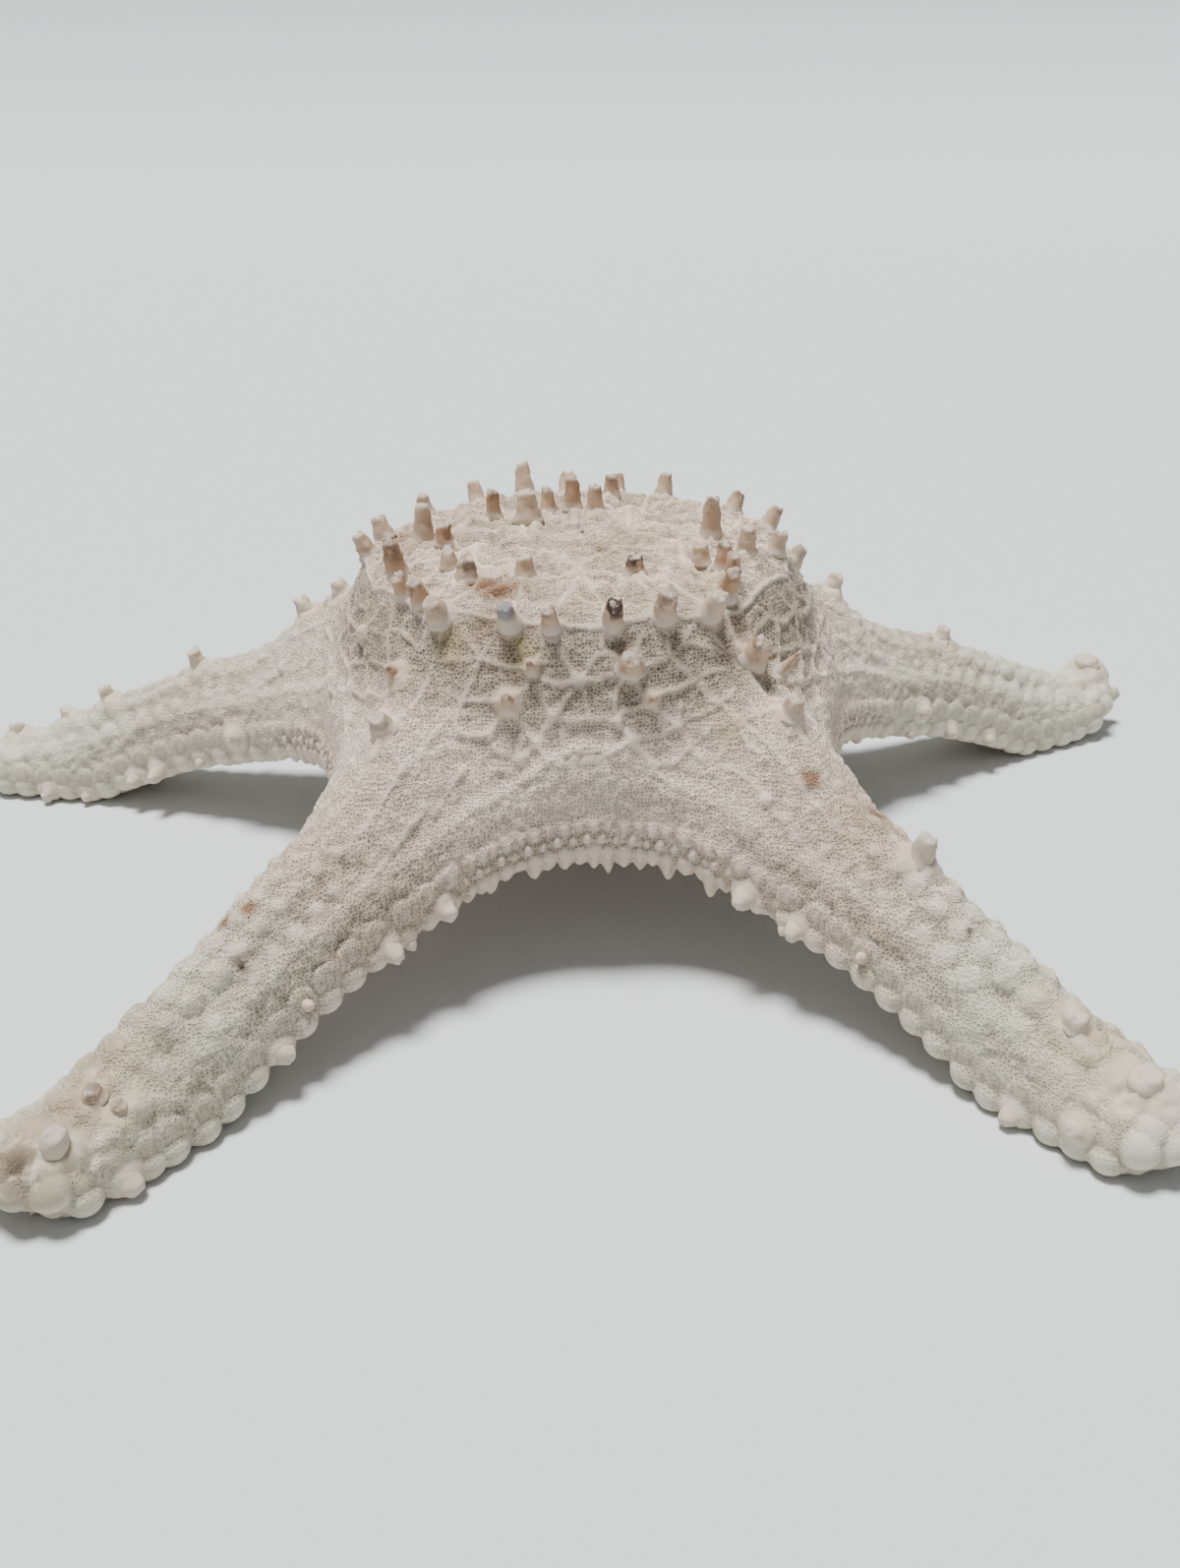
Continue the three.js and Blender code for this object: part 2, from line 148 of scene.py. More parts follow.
def top_height(s, y):
    """Height of the smooth upper side over a point of an arm's own frame"""
    s, y = np.asarray(s, float), np.asarray(y, float)
    r = np.hypot(s, y)
    turn = np.minimum(1, np.abs(np.arctan2(y, s)) / HALF_SECTOR)
    web = curve(WEB, r)
    domed = web + (curve(CREST, r) - web) * (1 - turn**2) ** 1.5
    half = np.where(s < NOTCH_S, np.maximum(s, 1) * math.tan(HALF_SECTOR), curve(HALF_WIDTH, s))
    edge = np.where(s < NOTCH_S, curve(WEB, s / math.cos(HALF_SECTOR)), underside(s) + band_height(s) * 0.85)
    across = np.minimum(1, np.abs(y) / half)
    arched = edge + (curve(CREST, s) - edge) * (1 - across**2) ** 1.06
    return mix(domed, arched, smooth(CROWN_RADIUS, CROWN_RADIUS + 14, r))


def place(arm, s, y, z):
    """A point of an arm's own frame, in the frame of the whole star"""
    out = np.clip((s - NOTCH_S) / (REACH - NOTCH_S), 0, 1)
    along = s + (arm["reach"] - REACH) * out
    across = y + arm["slant"] * out + arm["bend"] * out**2
    angle = math.radians(arm["degrees"]) + TURN
    rise = arm["lift"] * np.clip((s - LIFT_FROM) / (REACH - LIFT_FROM), 0, 1) ** 2
    return np.stack([
        CENTRE_X + along * math.cos(angle) - across * math.sin(angle),
        CENTRE_Y + along * math.sin(angle) + across * math.cos(angle),
        z + rise,
    ], -1)


def outline_normal(s):
    slope = curve(HALF_WIDTH, s + 0.5) - curve(HALF_WIDTH, s - 0.5)
    length = np.hypot(1, slope)
    notch = s <= NOTCH_S + 1e-6
    return (
        np.where(notch, math.cos(HALF_SECTOR), -slope / length),
        np.where(notch, math.sin(HALF_SECTOR), 1 / length),
    )


def section(s, w):
    """A point round an arm at s: w is 0 on the crest, 1 to 2 down the side and 4 in the groove"""
    half, bottom, band = curve(HALF_WIDTH, s), underside(s), band_height(s)
    middle = bottom + band / 2
    ns, ny = outline_normal(s)
    side, a = np.sign(w), np.abs(w)
    up = np.minimum(a, 1)
    top_s = s - ns * MARGIN * up**2
    top_y = (half - ny * MARGIN) * np.tan(HALF_SECTOR * up) / math.tan(HALF_SECTOR)
    top_z = top_height(top_s, top_y)
    psi = (1.5 - np.clip(a, 1, 2)) * math.pi
    drawn = np.where(psi > 0, MARGIN, UNDER_MARGIN) * (1 - np.cos(psi))
    side_z = middle + np.where(psi > 0, top_z - middle, band / 2) * np.sin(psi)
    t = np.clip(a - 2, 0, 1)
    deep = np.clip(a - 3, 0, 1)
    low_s = mix(s - ns * UNDER_MARGIN, s, t)
    low_y = mix(half - ny * UNDER_MARGIN, GROOVE_HALF_WIDTH, t) * np.where(a > 3, 1 - deep, 1)
    low_z = bottom + GROOVE_DEPTH * np.sin(deep * math.pi / 2)
    upper, lower = a <= 1, a > 2
    return (
        np.where(upper, top_s, np.where(lower, low_s, s - ns * drawn)),
        side * np.where(upper, top_y, np.where(lower, low_y, half - ny * drawn)),
        np.where(upper, top_z, np.where(lower, low_z, side_z)),
    )


def read(parts, key):
    """The places or directions of a mesh's points or faces, one row each"""
    values = np.empty(len(parts) * 3)
    parts.foreach_get(key, values)
    return values.reshape(-1, 3)


def shaped_grid(columns, rows, shape):
    """A flat grid laid down, then formed by a function of its column and row"""
    bpy.ops.mesh.primitive_grid_add(x_subdivisions=columns, y_subdivisions=rows, size=2)
    patch = bpy.context.object
    u, v = (read(patch.data.vertices, "co")[:, :2].T + 1) / 2
    points = shape(np.rint(u * columns), np.rint(v * rows))
    patch.data.vertices.foreach_set("co", points.ravel() * MM)
    return patch


def pick(*parts):
    """Selects these pieces alone and makes the first one active"""
    bpy.ops.object.select_all(action="DESELECT")
    for part in parts:
        part.select_set(True)
    bpy.context.view_layer.objects.active = parts[0]


def joined(parts, name):
    pick(*parts)
    bpy.ops.object.join()
    whole = bpy.context.object
    whole.name = whole.data.name = name
    bpy.ops.object.transform_apply()
    return whole


def relax(piece, turns):
    softer = piece.modifiers.new("relax", "SMOOTH")
    softer.factor = 0.5
    softer.iterations = turns
    bpy.ops.object.modifier_apply(modifier="relax")


ROUND_COLUMNS, ROUND_W = [0, 3, 9, 17, 57, 65, 71, 74], [-4, -3, -2, -1, 1, 2, 3, 4]
UNDER_COLUMNS, UNDER_W = [0, 6, 9, 9.001, 12, 18], [-2, -3, -4, 4, 3, 2]
STRAIGHT_ROWS, TIP_ROWS, CROWN_COLUMNS, CROWN_ROWS, FLANK_ROWS, BELLY_ROWS = 80, 12, 40, 36, 12, 30
patches = []
for arm in ARMS.values():
    def tube(column, row, arm=arm):
        w = np.interp(column, ROUND_COLUMNS, ROUND_W)
        tip = np.clip(row - STRAIGHT_ROWS, 0, TIP_ROWS) / TIP_ROWS * math.pi / 2
        s = mix(NOTCH_S, REACH - TIP_ROUND, np.minimum(row, STRAIGHT_ROWS) / STRAIGHT_ROWS)
        s, y, z = section(s, w)
        middle = band_height(REACH) * 0.6
        z = middle + (z - middle) * np.where(tip > 0, np.cos(tip), 1)
        return place(arm, s + TIP_ROUND * np.sin(tip), y * np.cos(tip), z)

    def crown(column, row, arm=arm):
        w = 2 * column / CROWN_COLUMNS - 1
        r = CROWN_RADIUS * np.minimum(row, CROWN_ROWS) / CROWN_ROWS
        t = np.clip(row - CROWN_ROWS, 0, FLANK_ROWS) / FLANK_ROWS
        end_s, end_y, _ = section(np.full_like(w, NOTCH_S), w)
        s = mix(r * np.cos(HALF_SECTOR * w), end_s, t)
        y = mix(r * np.sin(HALF_SECTOR * w), end_y, t)
        return place(arm, s, y, top_height(s, y))

    def belly(column, row, arm=arm):
        w = np.interp(column, UNDER_COLUMNS, UNDER_W)
        share, a = row / BELLY_ROWS, np.abs(w)
        rim_s, rim_y, _ = section(np.full_like(w, NOTCH_S), np.full_like(w, 2.0))
        groove = np.minimum(GROOVE_HALF_WIDTH, 0.55 * share * rim_y)
        t, deep = np.clip(a - 2, 0, 1), np.clip(a - 3, 0, 1)
        s = share * mix(rim_s, NOTCH_S, t)
        y = np.sign(w) * mix(share * rim_y, groove, t) * (1 - deep)
        z = mix(BELLY_TOP, NOTCH_LEVEL, share) + GROOVE_DEPTH * np.sin(deep * math.pi / 2) * np.minimum(1, share * 8)
        z = z + MOUTH_DEPTH * np.exp(-(np.hypot(s, y) / MOUTH_RADIUS) ** 2)
        return place(arm, s, y, np.where(share > 0, z, BELLY_TOP + MOUTH_DEPTH))

    patches += [
        shaped_grid(ROUND_COLUMNS[-1], STRAIGHT_ROWS + TIP_ROWS, tube),
        shaped_grid(CROWN_COLUMNS, CROWN_ROWS + FLANK_ROWS, crown),
        shaped_grid(UNDER_COLUMNS[-1], BELLY_ROWS, belly),
    ]
skin = joined(patches, "skin")
bpy.ops.object.mode_set(mode="EDIT")
bpy.ops.mesh.select_all(action="SELECT")
bpy.ops.mesh.remove_doubles(threshold=0.00002)
bpy.ops.mesh.normals_make_consistent(inside=False)
bpy.ops.object.mode_set(mode="OBJECT")
even = skin.modifiers.new("even", "REMESH")
even.mode = "VOXEL"
even.voxel_size = VOXEL * MM
bpy.ops.object.modifier_apply(modifier="even")
relax(skin, 3)
# The upper side is made finer, and so is the edge of the gaps, where the beads and teeth are small
facing = read(skin.data.polygons, "normal")[:, 2]
middles = read(skin.data.polygons, "center") / MM
reach_out = np.hypot(middles[:, 0] - CENTRE_X, middles[:, 1] - CENTRE_Y)
bpy.ops.object.mode_set(mode="EDIT")
bpy.ops.mesh.select_mode(type="FACE")
bpy.ops.mesh.select_all(action="DESELECT")
bpy.ops.object.mode_set(mode="OBJECT")
skin.data.polygons.foreach_set("select", facing > np.where(np.abs(reach_out - 62) < 10, -0.7, -0.15))
bpy.ops.object.mode_set(mode="EDIT")
bpy.ops.mesh.subdivide(number_cuts=1)
bpy.ops.object.mode_set(mode="OBJECT")
relax(skin, 2)

# Where each point of the skin lies on the star: the arm it belongs to, how far out and how far across
count = len(skin.data.vertices)
points = read(skin.data.vertices, "co") / MM
normals = read(skin.data.vertices, "normal")
where_s, where_y, nearest = np.zeros(count), np.zeros(count), np.full(count, 9.0)
which_arm = np.zeros(count, int)
for number, arm in enumerate(ARMS.values()):
    angle = math.radians(arm["degrees"]) + TURN
    dx, dy = points[:, 0] - CENTRE_X, points[:, 1] - CENTRE_Y
    along = dx * math.cos(angle) + dy * math.sin(angle)
    across = dy * math.cos(angle) - dx * math.sin(angle)
    stretch = (arm["reach"] - NOTCH_S) / (REACH - NOTCH_S)
    s = np.where(along < NOTCH_S, along, NOTCH_S + (along - NOTCH_S) / stretch)
    out = np.clip((s - NOTCH_S) / (REACH - NOTCH_S), 0, 1)
    y = across - arm["slant"] * out - arm["bend"] * out**2
    turn = np.abs(np.arctan2(y, s))
    mine = turn < nearest
    where_s[mine], where_y[mine], nearest[mine] = s[mine], y[mine], turn[mine]
    which_arm[mine] = number
upper_side = smooth(-0.1, 0.25, normals[:, 2]) * smooth(2, 6, points[:, 2] - underside(where_s))

# Ridges between two arms, as the photo's front gap shows them. A point is given by its distance from the
# disc's centre in millimetres, degrees from the middle of the gap and, on the steep flank, its height.
# The corners, where ridges meet, have names; thick plates lie on some of them, given by their radius.
# Each gap has the same net, every other one turned over.
CORNERS = {
    "a": (21.5, 0), "b": (26.5, 22), "c": (44.9, 4.6), "d": (43.5, 18.2), "e": (28.3, -23), "f": (43.9, -8.7),
    "g": (43.7, -18.9), "h": (46.6, -24.7, 59.8), "i": (47.6, -12.8, 58.7), "j": (49, -2, 57.5),
    "k": (47.1, 3.5, 62.1), "l": (48.6, 8.6, 59.8), "m": (51.3, -26.9, 53), "n": (47.2, -34.9, 57.7),
    "o": (50.1, -17.2, 53), "p": (51, -0.2, 50.7), "q": (51, -7.6, 51.2), "r": (52.4, 5.6, 50.3),
    "s": (52.4, -10.7, 46.4), "t": (53.6, -20.1, 48.2), "u": (54, -13.8, 43.8), "v": (59.3, -22.2, 43.6),
    "w": (52.8, -3.5, 42.5), "x": (52.8, 2, 43.6), "y": (52.5, 8.2, 46.8), "z": (49.1, 18.7, 61.2),
    "A": (48.2, 22.4, 62.6), "B": (50.2, 32.3, 60.4), "C": (51.3, 22.6, 56.2), "D": (51.4, 12.6, 53.4),
    "E": (53.6, 17.6, 48.8), "F": (53.9, 26.5, 51.9), "G": (56.8, 28.4, 48.4), "H": (54.9, 19.5, 44.6),
    "I": (56.2, 20.9, 42.5), "J": (58.2, 22.2, 40.5), "K": (54.1, 12.3, 42),
}
GAP_RIDGES = [
    ["a", "b", (25, 36)], ["a", (11.5, 36)], ["a", (33.5, 4), "c"], ["b", (36, 20), "d"],
    ["b", (36, 29), (46, 30.5)], ["c", (43.6, 11), "d", (44.3, 25), (45.5, 30.5), (45, 36)], ["a", "e", (25, -36)],
    ["a", (11.5, -36)], ["a", (33.5, -5), "f"], ["e", "g"], ["e", (35.6, -30), (42.8, -37)],
    ["c", (44, -2), "f", (43.8, -14), "g", (43.3, -28), (42.8, -36)], [(58.2, 22.2), (62.4, 25.1), (68.8, 27.4)],
    [(56.1, 28.4), (61, 29.7), (67.7, 31.1)], [(57, 31), (61.2, 36)], [(45, -32.5, 65.5), (45.5, -27.7, 61.8), "h"],
    [(43.3, -22.9, 65.4), (45.4, -22.7, 62.3), "h"],
    [(43.8, -17.2, 65.4), (45.2, -16, 62.7), (46.6, -14.7, 60.9), "i"],
    [(43.9, -9.7, 66.1), (45.5, -10.2, 63.1), (46.9, -11.1, 61.1), "i"],
    [(45.2, -8.6, 64), (46.3, -6.3, 62.5), (47.5, -4.7, 60.2), "j"],
    ["j", (47.5, 0.9, 61), "k", (47.7, 6.2, 61.4), "l"], ["j", (49.1, 2.2, 57.6), (49.3, 5.3, 58.2), "l"],
    [(44.8, 3.7, 66.3), (46.1, 3, 63.8), "k"], ["h", (47.4, -19.1, 59), (47.2, -15.1, 59.2), "i"],
    ["h", (48.4, -25.5, 56.4), "m"], ["h", (47, -30.9, 58.8), "n", (47.8, -38.7, 56)],
    [(44.5, -37.3, 62.1), (45.8, -36.9, 59.6), "n"], ["m", (51.1, -30.6, 54.3), (50.8, -35.2, 53.6)],
    ["i", (49, -13.4, 56.1), (49.3, -15, 55.4), "o"], ["i", (49, -8.3, 56.9), (49.1, -5.1, 56.9), "j"],
    ["j", (50.2, -0.9, 54.5), (50.6, -0.7, 52.3), "p"], ["j", (50, -4.5, 54.6), (50.4, -6, 53.1), "q"],
    ["i", (49.5, -10.6, 55.1), (50.7, -9.6, 53.1), "q"], ["q", (51, -4.2, 50), "p", (51.9, 2.8, 50.6), "r"],
    ["q", (51.8, -9.5, 48.9), "s"], ["o", (52.5, -19.5, 49.3), "t"],
    ["o", (51.8, -14, 49.5), (52.3, -12.5, 47.9), "s"], ["t", (55.7, -18.5, 45.5), "u", "s"],
    ["m", (54.5, -26.9, 50.2), (55.8, -24.8, 48.5), (54.9, -22.3, 48.1), "t"], ["m", (50.6, -22.5, 53.3), "o"],
    [(55.7, -26.3, 49.4), (58.1, -23.9, 46), "v"], ["s", (52.8, -9.6, 43.9), (52.8, -7.2, 42.9), "w"],
    [(51, -7.2, 50.8), (51.5, -5.8, 48.3), (52.3, -5.6, 45.3), "w"],
    [(51, -1.2, 50.4), (51.7, -1.4, 47.3), (52.3, -1.9, 44.7), "w"],
    ["w", (52.6, -0.4, 43.2), "x", (53.4, 4.5, 45.3), "y"], ["u", (54.5, -13, 41.3), (55.4, -13.3, 38.9)],
    ["l", (49.2, 12.6, 59.9), (49.4, 16.6, 60), "z"], ["z", (47.8, 18.5, 63.1), (45.7, 18.9, 66.5)],
    ["l", (47.2, 11.7, 63), (44.9, 14.5, 66.7)], ["z", "A", (49, 26.7, 61.8), "B", (51.4, 35.8, 58.8)],
    ["z", (50.4, 21.6, 57.8), "C"], ["C", (51.4, 27.5, 57.5), (51.8, 30.9, 57.5), (51.7, 35.5, 58.2)],
    ["D", (51.4, 14.5, 54.8), (51.6, 18.2, 54.9), "C"], ["D", (50.3, 10.2, 56.4), "l"],
    ["D", (52.4, 14.8, 50.8), "E"], ["C", (52.8, 24.7, 54.2), (53.6, 25.3, 52.4), "F"],
    ["E", (53.8, 19.8, 50.3), (54.2, 22.4, 50.3), "F"],
    [(51.9, 19.8, 54.6), (53.1, 19, 52.8), (53.4, 18.3, 50.6), "E"], ["C", (52.5, 24.9, 54.9), "F"],
    [(52.6, 34.1, 56.4), (53.2, 31, 55), (53.8, 29.6, 53.6), "F"], ["F", (55, 27.9, 50.8), "G"],
    ["G", (57.7, 31.1, 49.5), (58.8, 33.6, 50), (59.7, 36.4, 50.5)], ["E", "H", "I", "J", (60.6, 24.1, 38.1)],
    [(54.3, 23.8, 50.3), (55.5, 22.7, 47.4), (55.4, 20.7, 44.6)], ["G", (57.6, 25.3, 45.7), "J"],
    ["G", (60.1, 27.8, 45.3), (62.2, 29.4, 44.1), (65.2, 29.9, 42.4)],
    ["D", (51.6, 8.8, 52.2), (51.8, 6.6, 52.3), "r"], ["l", (50.1, 5.9, 56.1), (51.2, 5.1, 53.5), "r"], ["r", "y"],
    ["y", (52.7, 11.2, 46.9), (53.2, 13.8, 47), "E"], ["y", (53.3, 10.4, 43.9), "K"], ["K", (54.7, 15.9, 41.8), "H"],
    [(47, 29.3, 65.7), (47.2, 23.5, 64.4), "A"], [(47.1, 30.4, 65.6), (48.5, 30.3, 62.8), "B"],
    ["w", (53.3, -3.2, 40.2), (53.8, -4.4, 37.8)], ["x", (53.7, 3.4, 40.7), (54.3, 3.7, 38)],
    ["K", (54.9, 13.3, 39), (55.8, 15.4, 36.5)], ["v", (65.6, -23.6, 39.6), (71.2, -25.6, 34.7)],
    ["m", (57.5, -29, 49.3), (63.8, -29.5, 45.5), (71.5, -30.8, 39.8)],
]
PLATES = {
    "h": 2, "j": 2.2, "q": 1.9, "s": 2, "m": 1.8, "v": 2, "u": 1.8, "w": 2.4, "x": 1.8, "p": 1.4, "t": 1.7, "y": 2.4,
    "z": 2, "C": 1.8, "E": 1.9, "G": 1.8, "K": 1.6, "r": 1.6, "i": 1.8, "F": 1.4, "I": 1.5, "J": 1.5,
}
CROWN_PLATES = [(21.5, 0, 69.5, 3), (26.5, 22, 69.3, 2.6), (28.3, -23, 69.2, 2.6)]
ARM_RING = ["front_left", "front_right", "back_right", "back", "back_left"]


def on_gap(gap, r, degrees, z=None):
    """A point of the upper side: distance out, angle from the middle of a gap and height, if it is given"""
    swing = degrees if gap % 2 == 0 else -degrees
    arm = ARMS[ARM_RING[(gap + 1) % 5 if swing >= 0 else gap]]
    angle = math.radians(swing) - math.copysign(HALF_SECTOR, swing)
    s, y = r * math.cos(angle), r * math.sin(angle)
    return place(arm, s, y, top_height(s, y) if z is None else z)


ridge_points, ridge_widths, ridge_depths = [], [], []


def lay_ridge(line, width, depth, loose=(False, False)):
    """Samples a ridge every half millimetre or so; it fades out towards a loose end"""
    last = len(line) - 1
    for k, (a, b) in enumerate(zip(line[:-1], line[1:])):
        steps = max(2, int(np.linalg.norm(b - a) / 0.5))
        for t in np.linspace(0, 1, steps, endpoint=False):
            share = (k + t) / last
            fade = min(1, share * 3 if loose[0] else 1, (1 - share) * 3 if loose[1] else 1)
            ridge_points.append(mix(a, b, t))
            ridge_widths.append(width)
            ridge_depths.append(depth * fade)


def rounded(line):
    """A line with its corners cut off three times"""
    p = np.array(line, float)
    for _ in range(3):
        q = mix(p[:-1], p[1:], 0.25), mix(p[:-1], p[1:], 0.75)
        p = np.concatenate([p[:1], np.stack(q, 1).reshape(-1, p.shape[1])[1:-1], p[-1:]])
    return p


every_corner = [corner for line in GAP_RIDGES for corner in line]
for gap in range(5):
    for number, names in enumerate(GAP_RIDGES):
        line = [CORNERS.get(corner, corner) for corner in names]
        spots = []
        for r, d, *z in rounded(line):
            wander = wobble(r * 0.3, d * 0.3, gap * 7.0) * (gap > 0)
            spots.append(on_gap(gap, r, d + wander * 1.8, *z))
        on_flank = len(line[0]) == 3
        loose = [on_flank and every_corner.count(names[k]) < 2 for k in (0, -1)]
        strong = (0.6 if on_flank else 0.8) * (1 + 0.3 * wobble(number * 1.3, gap * 3.7, 0.5))
        lay_ridge(spots, 0.15, strong * 0.88, loose)
for arm in ARMS.values():
    def along_arm(pairs):
        table = []
        for (s0, y0), (s1, y1) in zip(pairs[:-1], pairs[1:]):
            for t in np.linspace(0, 1, 6)[:-1]:
                table.append((mix(s0, s1, t), mix(y0, y1, t)))
        table.append(pairs[-1])
        return [place(arm, s, y, top_height(s, y)) for s, y in table]

    lay_ridge(along_arm([(11.5, 0), (26, 0), (45, 0), (62, 0), (100, 0)]), 0.25, 0.6, (False, True))
    for side in (-1, 1):
        lay_ridge(along_arm([(61, side * 6.3), (68, side * 5.9), (95, side * 5.0)]), 0.2, 0.55, (True, True))
        lay_ridge(along_arm([(60, side * 12.6), (69, side * 10.8), (95, side * 8.4)]), 0.2, 0.55, (True, True))
        for s in np.arange(50.0, 100, 6.5):
            lay_ridge(along_arm([(s, 0), (s + 2.5, side * 6.1 * (1 - s * 0.001))]), 0.1, 0.3)
        for s in np.arange(62.0, 96, 7.0):
            lay_ridge(along_arm([(s, side * 6), (s + 3.0, side * 11)]), 0.1, 0.3)
tree = kdtree.KDTree(count)
for k in range(count):
    tree.insert(points[k], k)
tree.balance()
net = kdtree.KDTree(len(ridge_points))
for k, spot in enumerate(ridge_points):
    _, near, _ = tree.find(spot)
    net.insert(spot - normals[near] * (normals[near] @ (spot - points[near])), k)
net.balance()
RIDGE_SLOPE = 1.05
sunk = np.ones(count)
for k in np.nonzero(upper_side > 0.01)[0]:
    _, hit, distance = net.find(points[k])
    across = min(1.0, max(0.0, distance - ridge_widths[hit]) / RIDGE_SLOPE)
    sunk[k] = 1 - ridge_depths[hit] * (1 - across * across * (3 - 2 * across))

# Domes: the bead-like plates of the edge, the knobs of the outer arms and the thick plates where
# ridges meet. Each is given by its middle, its radius and its height. In the gaps the plates of the
# edge are smaller: others stand between them, in more rows.
knobs = np.zeros(count)
beads = np.full(count, -9.0)
bead_mask = np.zeros(count)


def raise_dome(field, centre, radius, height, power=1.0, facing=None):
    for _, k, distance in tree.find_range(Vector(centre), radius):
        if facing is not None and normals[k] @ facing < 0:
            continue
        field[k] = max(field[k], height * (1 - (distance / radius) ** 2) ** power)


def set_bead(centre, radius, height, power, spread, cover=1.0):
    raise_dome(beads, centre, radius, height, power)
    raise_dome(bead_mask, centre, radius, cover, spread)


outline_s = np.linspace(NOTCH_S, REACH - TIP_ROUND, 600)
outline_y = curve(HALF_WIDTH, outline_s)
outline_length = np.concatenate([[0], np.cumsum(np.hypot(np.diff(outline_s), np.diff(outline_y)))])
PLATE_PITCH = 5.3
UPPER_ROW, LOWER_ROW = (-1.4, 0.74), (-1.2, 0.26)
edge_plates, tooth_roots = [], []


def edge_spot(arm, s, side, out, level):
    """A point of an arm's edge: its distance along the arm, how far out of the outline and how high in the edge"""
    ns, ny = outline_normal(np.array(float(s)))
    return place(arm, s + ns * out, side * (curve(HALF_WIDTH, s) + ny * out), underside(s) + band_height(s) * level)


def outward(arm, s, side):
    """The level way straight out of an arm's edge"""
    ns, ny = outline_normal(np.array(float(s)))
    half = curve(HALF_WIDTH, s)
    return place(arm, s + ns, side * (half + ny), 0) - place(arm, s, side * half, 0)


for name, arm in ARMS.items():
    lobed = 0.9 if name.startswith("front") else 0.3
    for side in (-1, 1):
        plates = int(outline_length[-1] / PLATE_PITCH)
        for n in range(plates + 1):
            sway = 0.35 * wobble(n * 3.1, side * 5.0, arm["degrees"])
            length = max(0, (n + sway) * outline_length[-1] / plates)
            for row, spot in ((1, UPPER_ROW), (-1, LOWER_ROW)):
                s = float(np.interp(length, outline_length, outline_s))
                centre = edge_spot(arm, s, side, *spot)
                grow = float(smooth(50, 90, s))
                edge_plates.append((arm, s, side, row, centre))
                if row < 0:
                    tooth_roots.append((s, centre))
                size = mix(2.1, 3.2, grow) + 0.5 * sway
                if row > 0:
                    high, power, spread = mix(1.5, 0.6, grow), 1.3, mix(0.7, 3.0, grow)
                else:
                    high, power, spread = mix(1.4, 1.1 + lobed, grow), 1.0 - 0.2 * grow, mix(0.5, 1.5, grow)
                set_bead(centre, size, high + 0.5 * sway, power, spread)
            for step, spot, size, high, chance in (
                (0.5, (-1.4, 0.76), 1.9, 1.4, 1), (0.5, LOWER_ROW, 1.9, 1.3, 1), (0, (-3.4, 1.02), 1.7, 0.9, 1),
                (0.5, (-3.6, 1.05), 1.4, 0.7, sway + 0.4), (0.25, (-0.6, 0.5), 1.5, 1.1, sway + 0.5),
                (0.75, (-0.6, 0.48), 1.3, 0.9, 0.5 - sway),
            ):
                s = float(np.interp(length + (step + sway * 0.3) * PLATE_PITCH, outline_length, outline_s))
                centre = edge_spot(arm, s, side, *spot)
                fade = 1 - float(smooth(58, 80, s))
                if fade > 0.1 and chance > 0.3:
                    set_bead(centre, size, high * fade, 1.2, 0.7, fade)
                    if spot == LOWER_ROW:
                        tooth_roots.append((s, centre))
for arm in ARMS.values():
    for ring, (tip_angle, many) in enumerate(((35, 6), (65, 4))):
        a = math.radians(tip_angle)
        s = REACH - TIP_ROUND + TIP_ROUND * math.sin(a)
        for k in range(many):
            turn = (k + 0.5) / many * math.pi - math.pi / 2
            y = 9.5 * math.cos(a) * math.sin(turn)
            z = 4.4 + 5.2 * math.cos(a) * math.cos(turn)
            size = 3.7 + 0.9 * wobble(k * 2.3, ring * 4.1, arm["degrees"] * 0.3)
            centre = place(arm, s - 1.5, y, z)
            set_bead(centre, size, 0.62 * size, 1.1, 0.5)

for gap in range(5):
    for r, degrees, z, size in CROWN_PLATES + [(*CORNERS[corner], size) for corner, size in PLATES.items()]:
        raise_dome(knobs, on_gap(gap, r, degrees, z), size, 0.42, 1.3)
for gap, r, degrees, size, height in [
    (2, 49, 9, 2.6, 1.3), (3, 50.8, -17, 2.8, 1.5), (4, 49, 8, 2.6, 1.2),
]:
    raise_dome(knobs, on_gap(gap, r, degrees), size, height, 1.3)
raise_dome(knobs, place(ARMS["back_right"], 145.5, -0.5, 13.5), 7.0, 2.6, 0.9)
for arm in ARMS.values():
    rows = [(0.0, 58), (0.34, 64), (-0.34, 64), (0.62, 62), (-0.62, 62)]
    for line, (share, first) in enumerate(rows):
        s = first + line * 1.3
        while s < 143:
            far = float(smooth(75, 125, s))
            sway = wobble(s * 0.37, line * 4.0, arm["degrees"] * 0.1)
            half = float(curve(HALF_WIDTH, s))
            y = share * half + sway * 0.8 * far
            centre = place(arm, s, y, top_height(s, y))
            size = mix(1.5, 2.9, far) * (1 + 0.25 * sway)
            raise_dome(knobs, centre, size, mix(0.36, 0.7, far) * (1 + 1.1 * sway), 1.2)
            s += mix(4.1, 5.2, far) * (1 + 0.15 * sway)

# Plates of the underside: rows beside the grooves, and a pavement between them
pavement = np.zeros(count)
DOWN = np.array([0.0, 0.0, -1.0])
for arm in ARMS.values():
    for side in (-1, 1):
        for s in np.arange(9.0, 146, 2.6):
            half = s * math.tan(HALF_SECTOR) if s < NOTCH_S else float(curve(HALF_WIDTH, s)) - 3
            y = GROOVE_HALF_WIDTH + 1.4
            lane = 0
            while y < half:
                centre = place(arm, s + 1.3 * (lane % 2), side * y, belly_level(s))
                raise_dome(pavement, centre, 1.75 if lane else 1.5, 0.75, 0.8, DOWN)
                y += 2.9
                lane += 1

